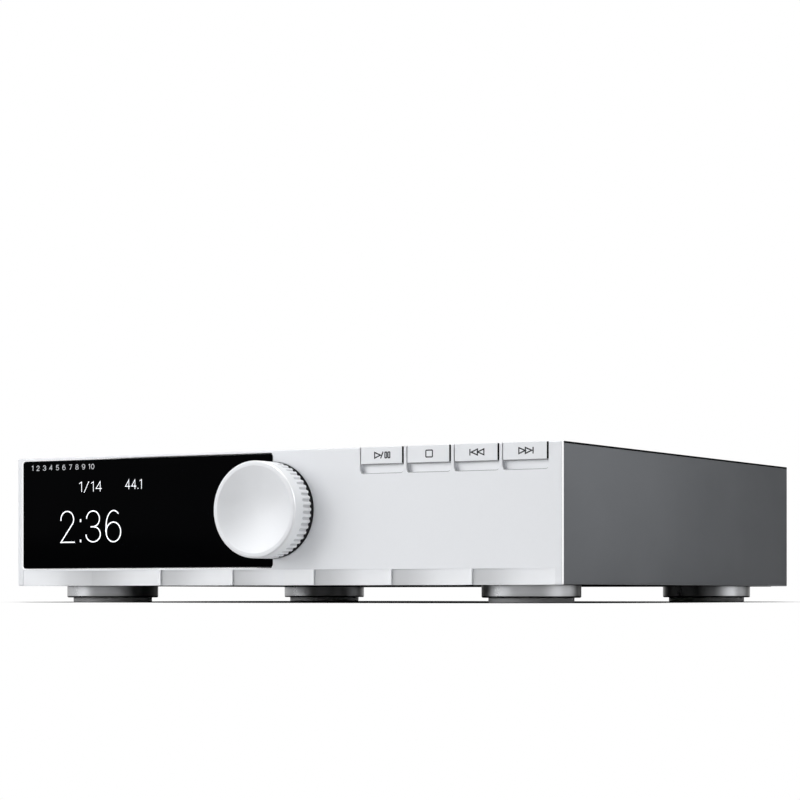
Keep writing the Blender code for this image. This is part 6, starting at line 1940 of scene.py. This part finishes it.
@dataclass
class Bay:
    """The moulded bay: well, lid seat, finger notch and slot for the lens."""

    well_radius: float = 62.5 * MM
    well_floor: float = 45.0 * MM
    well_cove: float = 1.5 * MM
    seat_depth: float = 4.0 * MM
    notch_depth: float = 8.4 * MM
    hub_hole: float = 15.5 * MM
    slot_end: float = 66.0 * MM
    slot_half: float = 8.0 * MM
    slot_corner: float = 2.0 * MM
    slot_top: float = 46.6 * MM
    edge: float = 0.15 * MM
    rib_radii: Pair = (52.0 * MM, 53.4 * MM)
    rib_span: Pair = (0.1 * MM, 0.3 * MM)
    rib_starts: Place = (20.0, 110.0, 200.0)
    rib_turn: float = 50.0

    def build(self) -> None:
        """Build the bay, cut its hollows and lay three ribs on its floor."""
        low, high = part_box("bay_liner")
        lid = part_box("lid_frame")[1]
        bay = middle("lid_window").y
        centre, half, above, below = (0.0, bay), lid.x + LID_GAP, high.z + OVERRUN, low.z - OVERRUN
        hinge, room = hinge_axis(), HINGE_RADIUS + LID_GAP
        corner, slot_half = self.slot_corner, self.slot_half
        slot = rounded((0.0, bay - slot_half), (self.slot_end, bay + slot_half), (0, corner, corner, 0), 4)
        cuts = [
            Shape().prism(Axis.Z, lid_opening(), lid.z - self.seat_depth, above),
            Shape().turn(Axis.Z, centre, self.well(above), 192),
            Shape().box((-half, hinge[0] - room, hinge[1] - room), (half, bay + half, above)),
            Shape().prism(Axis.Z, notch_opening(), lid.z - self.notch_depth, above),
            Shape().prism(Axis.Z, circle(centre, self.hub_hole, 96), below, self.well_floor + OVERRUN),
            Shape().prism(Axis.Z, slot, below, self.slot_top),
        ]
        liner = Shape().box(low, high).build("bay_moulding", BLACK_PLASTIC)
        carve(liner, cuts + pin_bores(lid.x - OVERRUN, high.x + OVERRUN))
        fit(soften(liner, self.edge), "case", BLACK_PLASTIC, "bay_liner")
        ribs = Shape()
        for start in self.rib_starts:
            inner = arc(centre, self.rib_radii[0], start, start + self.rib_turn, 24)
            outer = arc(centre, self.rib_radii[1], start + self.rib_turn, start, 24)
            floor = self.well_floor
            ribs.prism(Axis.Z, inner + outer, floor - self.rib_span[0], floor + self.rib_span[1])
        ribs.place("bay_ribs", BLACK_PLASTIC, "case")

    def well(self, above: float) -> Outline:
        """Return the well's section up to a level above it, with a coved foot."""
        radius, floor, cove = self.well_radius, self.well_floor, self.well_cove
        foot = arc((radius - cove, floor + cove), cove, -90.0, 0.0, 6)
        return [(0.0, floor)] + foot + [(radius, above), (0.0, above)]


@dataclass
class Mechanism:
    """Hub, lens and the deck with its drive; rows of turned pieces are in millimetres."""

    disc_drop: float = 3.0 * MM
    hub_foot: Pairs = ((0.0, 0.0), (1.5, 0.0))
    hub_rows: Pairs = (
        (1.5, -5.7), (4.0, -5.7), (4.0, -3.3), (14.2, -3.3), (14.5, -3.0), (14.5, -0.3), (14.2, 0.0),
        (13.4, 0.0), (13.3, -0.25), (9.6, -0.25), (9.5, 0.0), (7.5, 0.0), (7.4, 0.1), (7.3, 1.2), (6.9, 2.1),
    )
    hub_top: Pairs = ((6.1, -0.2), (5.6, 0.0), (2.2, 0.0), (2.0, -0.4), (0.0, -0.4))
    mat: Ring = (9.7, 13.2, -0.24, -0.02)
    finger: Pairs = ((0.0, 0.4), (1.25, 0.4), (1.25, 1.3), (0.9, 2.1), (0.0, 2.5))
    cap: Pairs = ((0.0, -0.4), (1.9, -0.4), (1.7, -0.05), (0.0, -0.02))
    holder_foot: Pairs = ((0.0, 0.0), (5.0, 0.0))
    holder_top: Pairs = ((5.0, -0.4), (4.6, 0.0), (2.6, 0.0), (2.4, -0.3), (0.0, -0.3))
    lens_foot: Pairs = ((0.0, -0.28), (2.3, -0.28), (2.3, -0.1))
    finger_circle: float = 6.0 * MM
    finger_start: float = 0.4
    lens_drop: float = 0.8 * MM
    dome_height: float = 0.88 * MM
    dome_rows: int = 8

    def build(self) -> None:
        """Build what the open lid shows and dress the rest."""
        self.hub()
        self.lens()
        coat(STEEL, "deck_frame", "guide_rod_front", "guide_rod_rear", "spindle_motor", "sled_motor")
        for corner in CORNERS:
            coat(STEEL, f"deck_post_{corner}")
            coat(RUBBER, f"isolator_{corner}")
        coat(IVORY, "sled_pinion", "idler_gear")
        coat(BLACK_PLASTIC, "sled")

    def hub(self) -> None:
        """Build the hub with its rubber ring, three sprung fingers and cap."""
        low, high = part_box("spindle_hub")
        centre, disc_z = tuple(middle("spindle_hub").xy), high.z - self.disc_drop
        profile = rows(low.z, self.hub_foot) + rows(disc_z, self.hub_rows) + rows(high.z, self.hub_top)
        Shape().turn(Axis.Z, centre, profile, 96).place("hub_body", BLACK_PLASTIC, "spindle", "spindle_hub")
        mat = Shape().turn(Axis.Z, centre, washer(disc_z, self.mat), 96, ring=True)
        mat.place("hub_mat", RUBBER, "spindle")
        fingers = Shape()
        for spot in around(centre, self.finger_circle, 3, self.finger_start):
            fingers.turn(Axis.Z, spot, rows(disc_z, self.finger), 20)
        fingers.place("hub_fingers", STEEL, "spindle")
        Shape().turn(Axis.Z, centre, rows(high.z, self.cap), 40).place("hub_cap", STEEL, "spindle")

    def lens(self) -> None:
        """Build the lens in its round holder."""
        low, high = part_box("lens_holder")
        centre, top = tuple(middle("lens_holder").xy), high.z - self.lens_drop
        holder = rows(low.z, self.holder_foot) + rows(top, self.holder_top)
        Shape().turn(Axis.Z, centre, holder, 72).place("lens_ring", BLACK_PLASTIC, "lens", "lens_holder")
        glass = rows(top, self.lens_foot)
        radius, foot = glass[-1]
        dome = arc((0.0, foot), radius, 0.0, 90.0, self.dome_rows, self.dome_height / radius)
        glass += dome[1:-1] + [(0.0, foot + self.dome_height)]
        Shape().turn(Axis.Z, centre, glass, 48).place("lens_glass_dome", LENS, "lens")


@dataclass
class Electronics:
    """The boards, the transformer and the underside's screws."""

    screws: Screws
    screw_sink: float = 1.15 * MM
    screw_columns: tuple[float, ...] = (-0.62, -0.2, 0.2, 0.62)
    screw_rows: Pair = (0.08, 0.92)
    screw_scale: float = 0.9

    def build(self) -> None:
        """Dress the boards and screw the base together."""
        coat(BOARD, "main_board", "power_board", "key_board")
        coat(STEEL, "transformer")
        low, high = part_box("base_tray")
        shares = [(across, depth) for across in self.screw_columns for depth in self.screw_rows]
        for number, (across, depth) in enumerate(shares):
            spot = (across * high.x, low.y + (high.y - low.y) * depth, low.z + self.screw_sink)
            self.screws.place(f"base_screw_{number}", spot, Axis.Z, self.screw_scale)


@dataclass
class Studio:
    """The white floor, the camera at the photo's place and the lamps: name, place, size and power."""

    lens: float = 112.5
    sensor: float = 36.0
    shift: float = 0.2425
    camera_place: Place = (549.7 * MM, -958.65 * MM, 3.5 * MM)
    turn: float = 30.1
    floor_half: float = 60.0
    floor_thickness: float = 0.01
    target: Place = (0.0, 0.0, 0.03)
    plan: tuple[Lamp, ...] = (
        ("key_lamp", (-1.0, -1.1, 0.7), 1.4, 11.0),
        ("front_lamp", (-0.5, -1.3, 1.0), 1.5, 3.8),
        ("top_lamp", (0.0, -0.2, 1.2), 0.4, 9.2),
        ("low_lamp", (-1.4, -0.9, 0.12), 0.4, 1.14),
        ("side_lamp", (0.27, -0.105, 0.16), 0.08, 0.205),
    )

    def build(self) -> None:
        """Build the whole studio."""
        self.camera()
        half = self.floor_half
        floor = Shape().box((-half, -half, -self.floor_thickness), (half, half, 0.0))
        floor.build("studio_floor", FLOOR_WHITE)
        self.world()
        self.lamps()
        bpy.context.scene.view_settings.view_transform = "Standard"

    def camera(self) -> None:
        """Set the camera level, with its frame shifted up."""
        data = bpy.data.cameras.new("camera")
        data.lens, data.sensor_width, data.shift_y = self.lens, self.sensor, self.shift
        data.clip_start, data.clip_end = 1 * MM, 200.0
        camera = bpy.data.objects.new("camera", data)
        camera.location = self.camera_place
        camera.rotation_euler = (math.radians(90.0), 0.0, math.radians(self.turn))
        bpy.context.scene.collection.objects.link(camera)
        bpy.context.scene.camera = camera

    def world(self) -> None:
        """Show white to the eye, and leave the lighting to the lamps."""
        world = bpy.data.worlds.new("studio")
        graph = Graph(world, "Background")
        graph.feed(graph.shader, Color=(1.0, 1.0, 1.0, 1.0), Strength=graph.seen())
        bpy.context.scene.world = world

    def lamps(self) -> None:
        """Hang two big soft lamps in front, one overhead, one low and one at the right."""
        for name, place, size, power in self.plan:
            data = bpy.data.lights.new(name, "AREA")
            data.shape, data.size, data.energy = "SQUARE", size, power
            lamp = bpy.data.objects.new(name, data)
            lamp.location, lamp.visible_glossy = place, name != "low_lamp"
            lamp.rotation_euler = (Vector(place) - Vector(self.target)).to_track_quat("Z", "Y").to_euler()
            bpy.context.scene.collection.objects.link(lamp)


def main() -> None:
    """Build every part of the player, then the studio."""
    logging.basicConfig(level=logging.INFO, format="%(message)s")
    screws = Screws()
    parts = (
        Cover(), FrontPanel(), Keys(), Display(), Knob(), Feet(), Rear(screws),
        Lid(), Bay(), Mechanism(), Electronics(screws),
    )
    for part in parts:
        log.info("building %s", type(part).__name__)
        part.build()
    screws.drop_pattern()
    Studio().build()


if __name__ == "__main__":
    main()
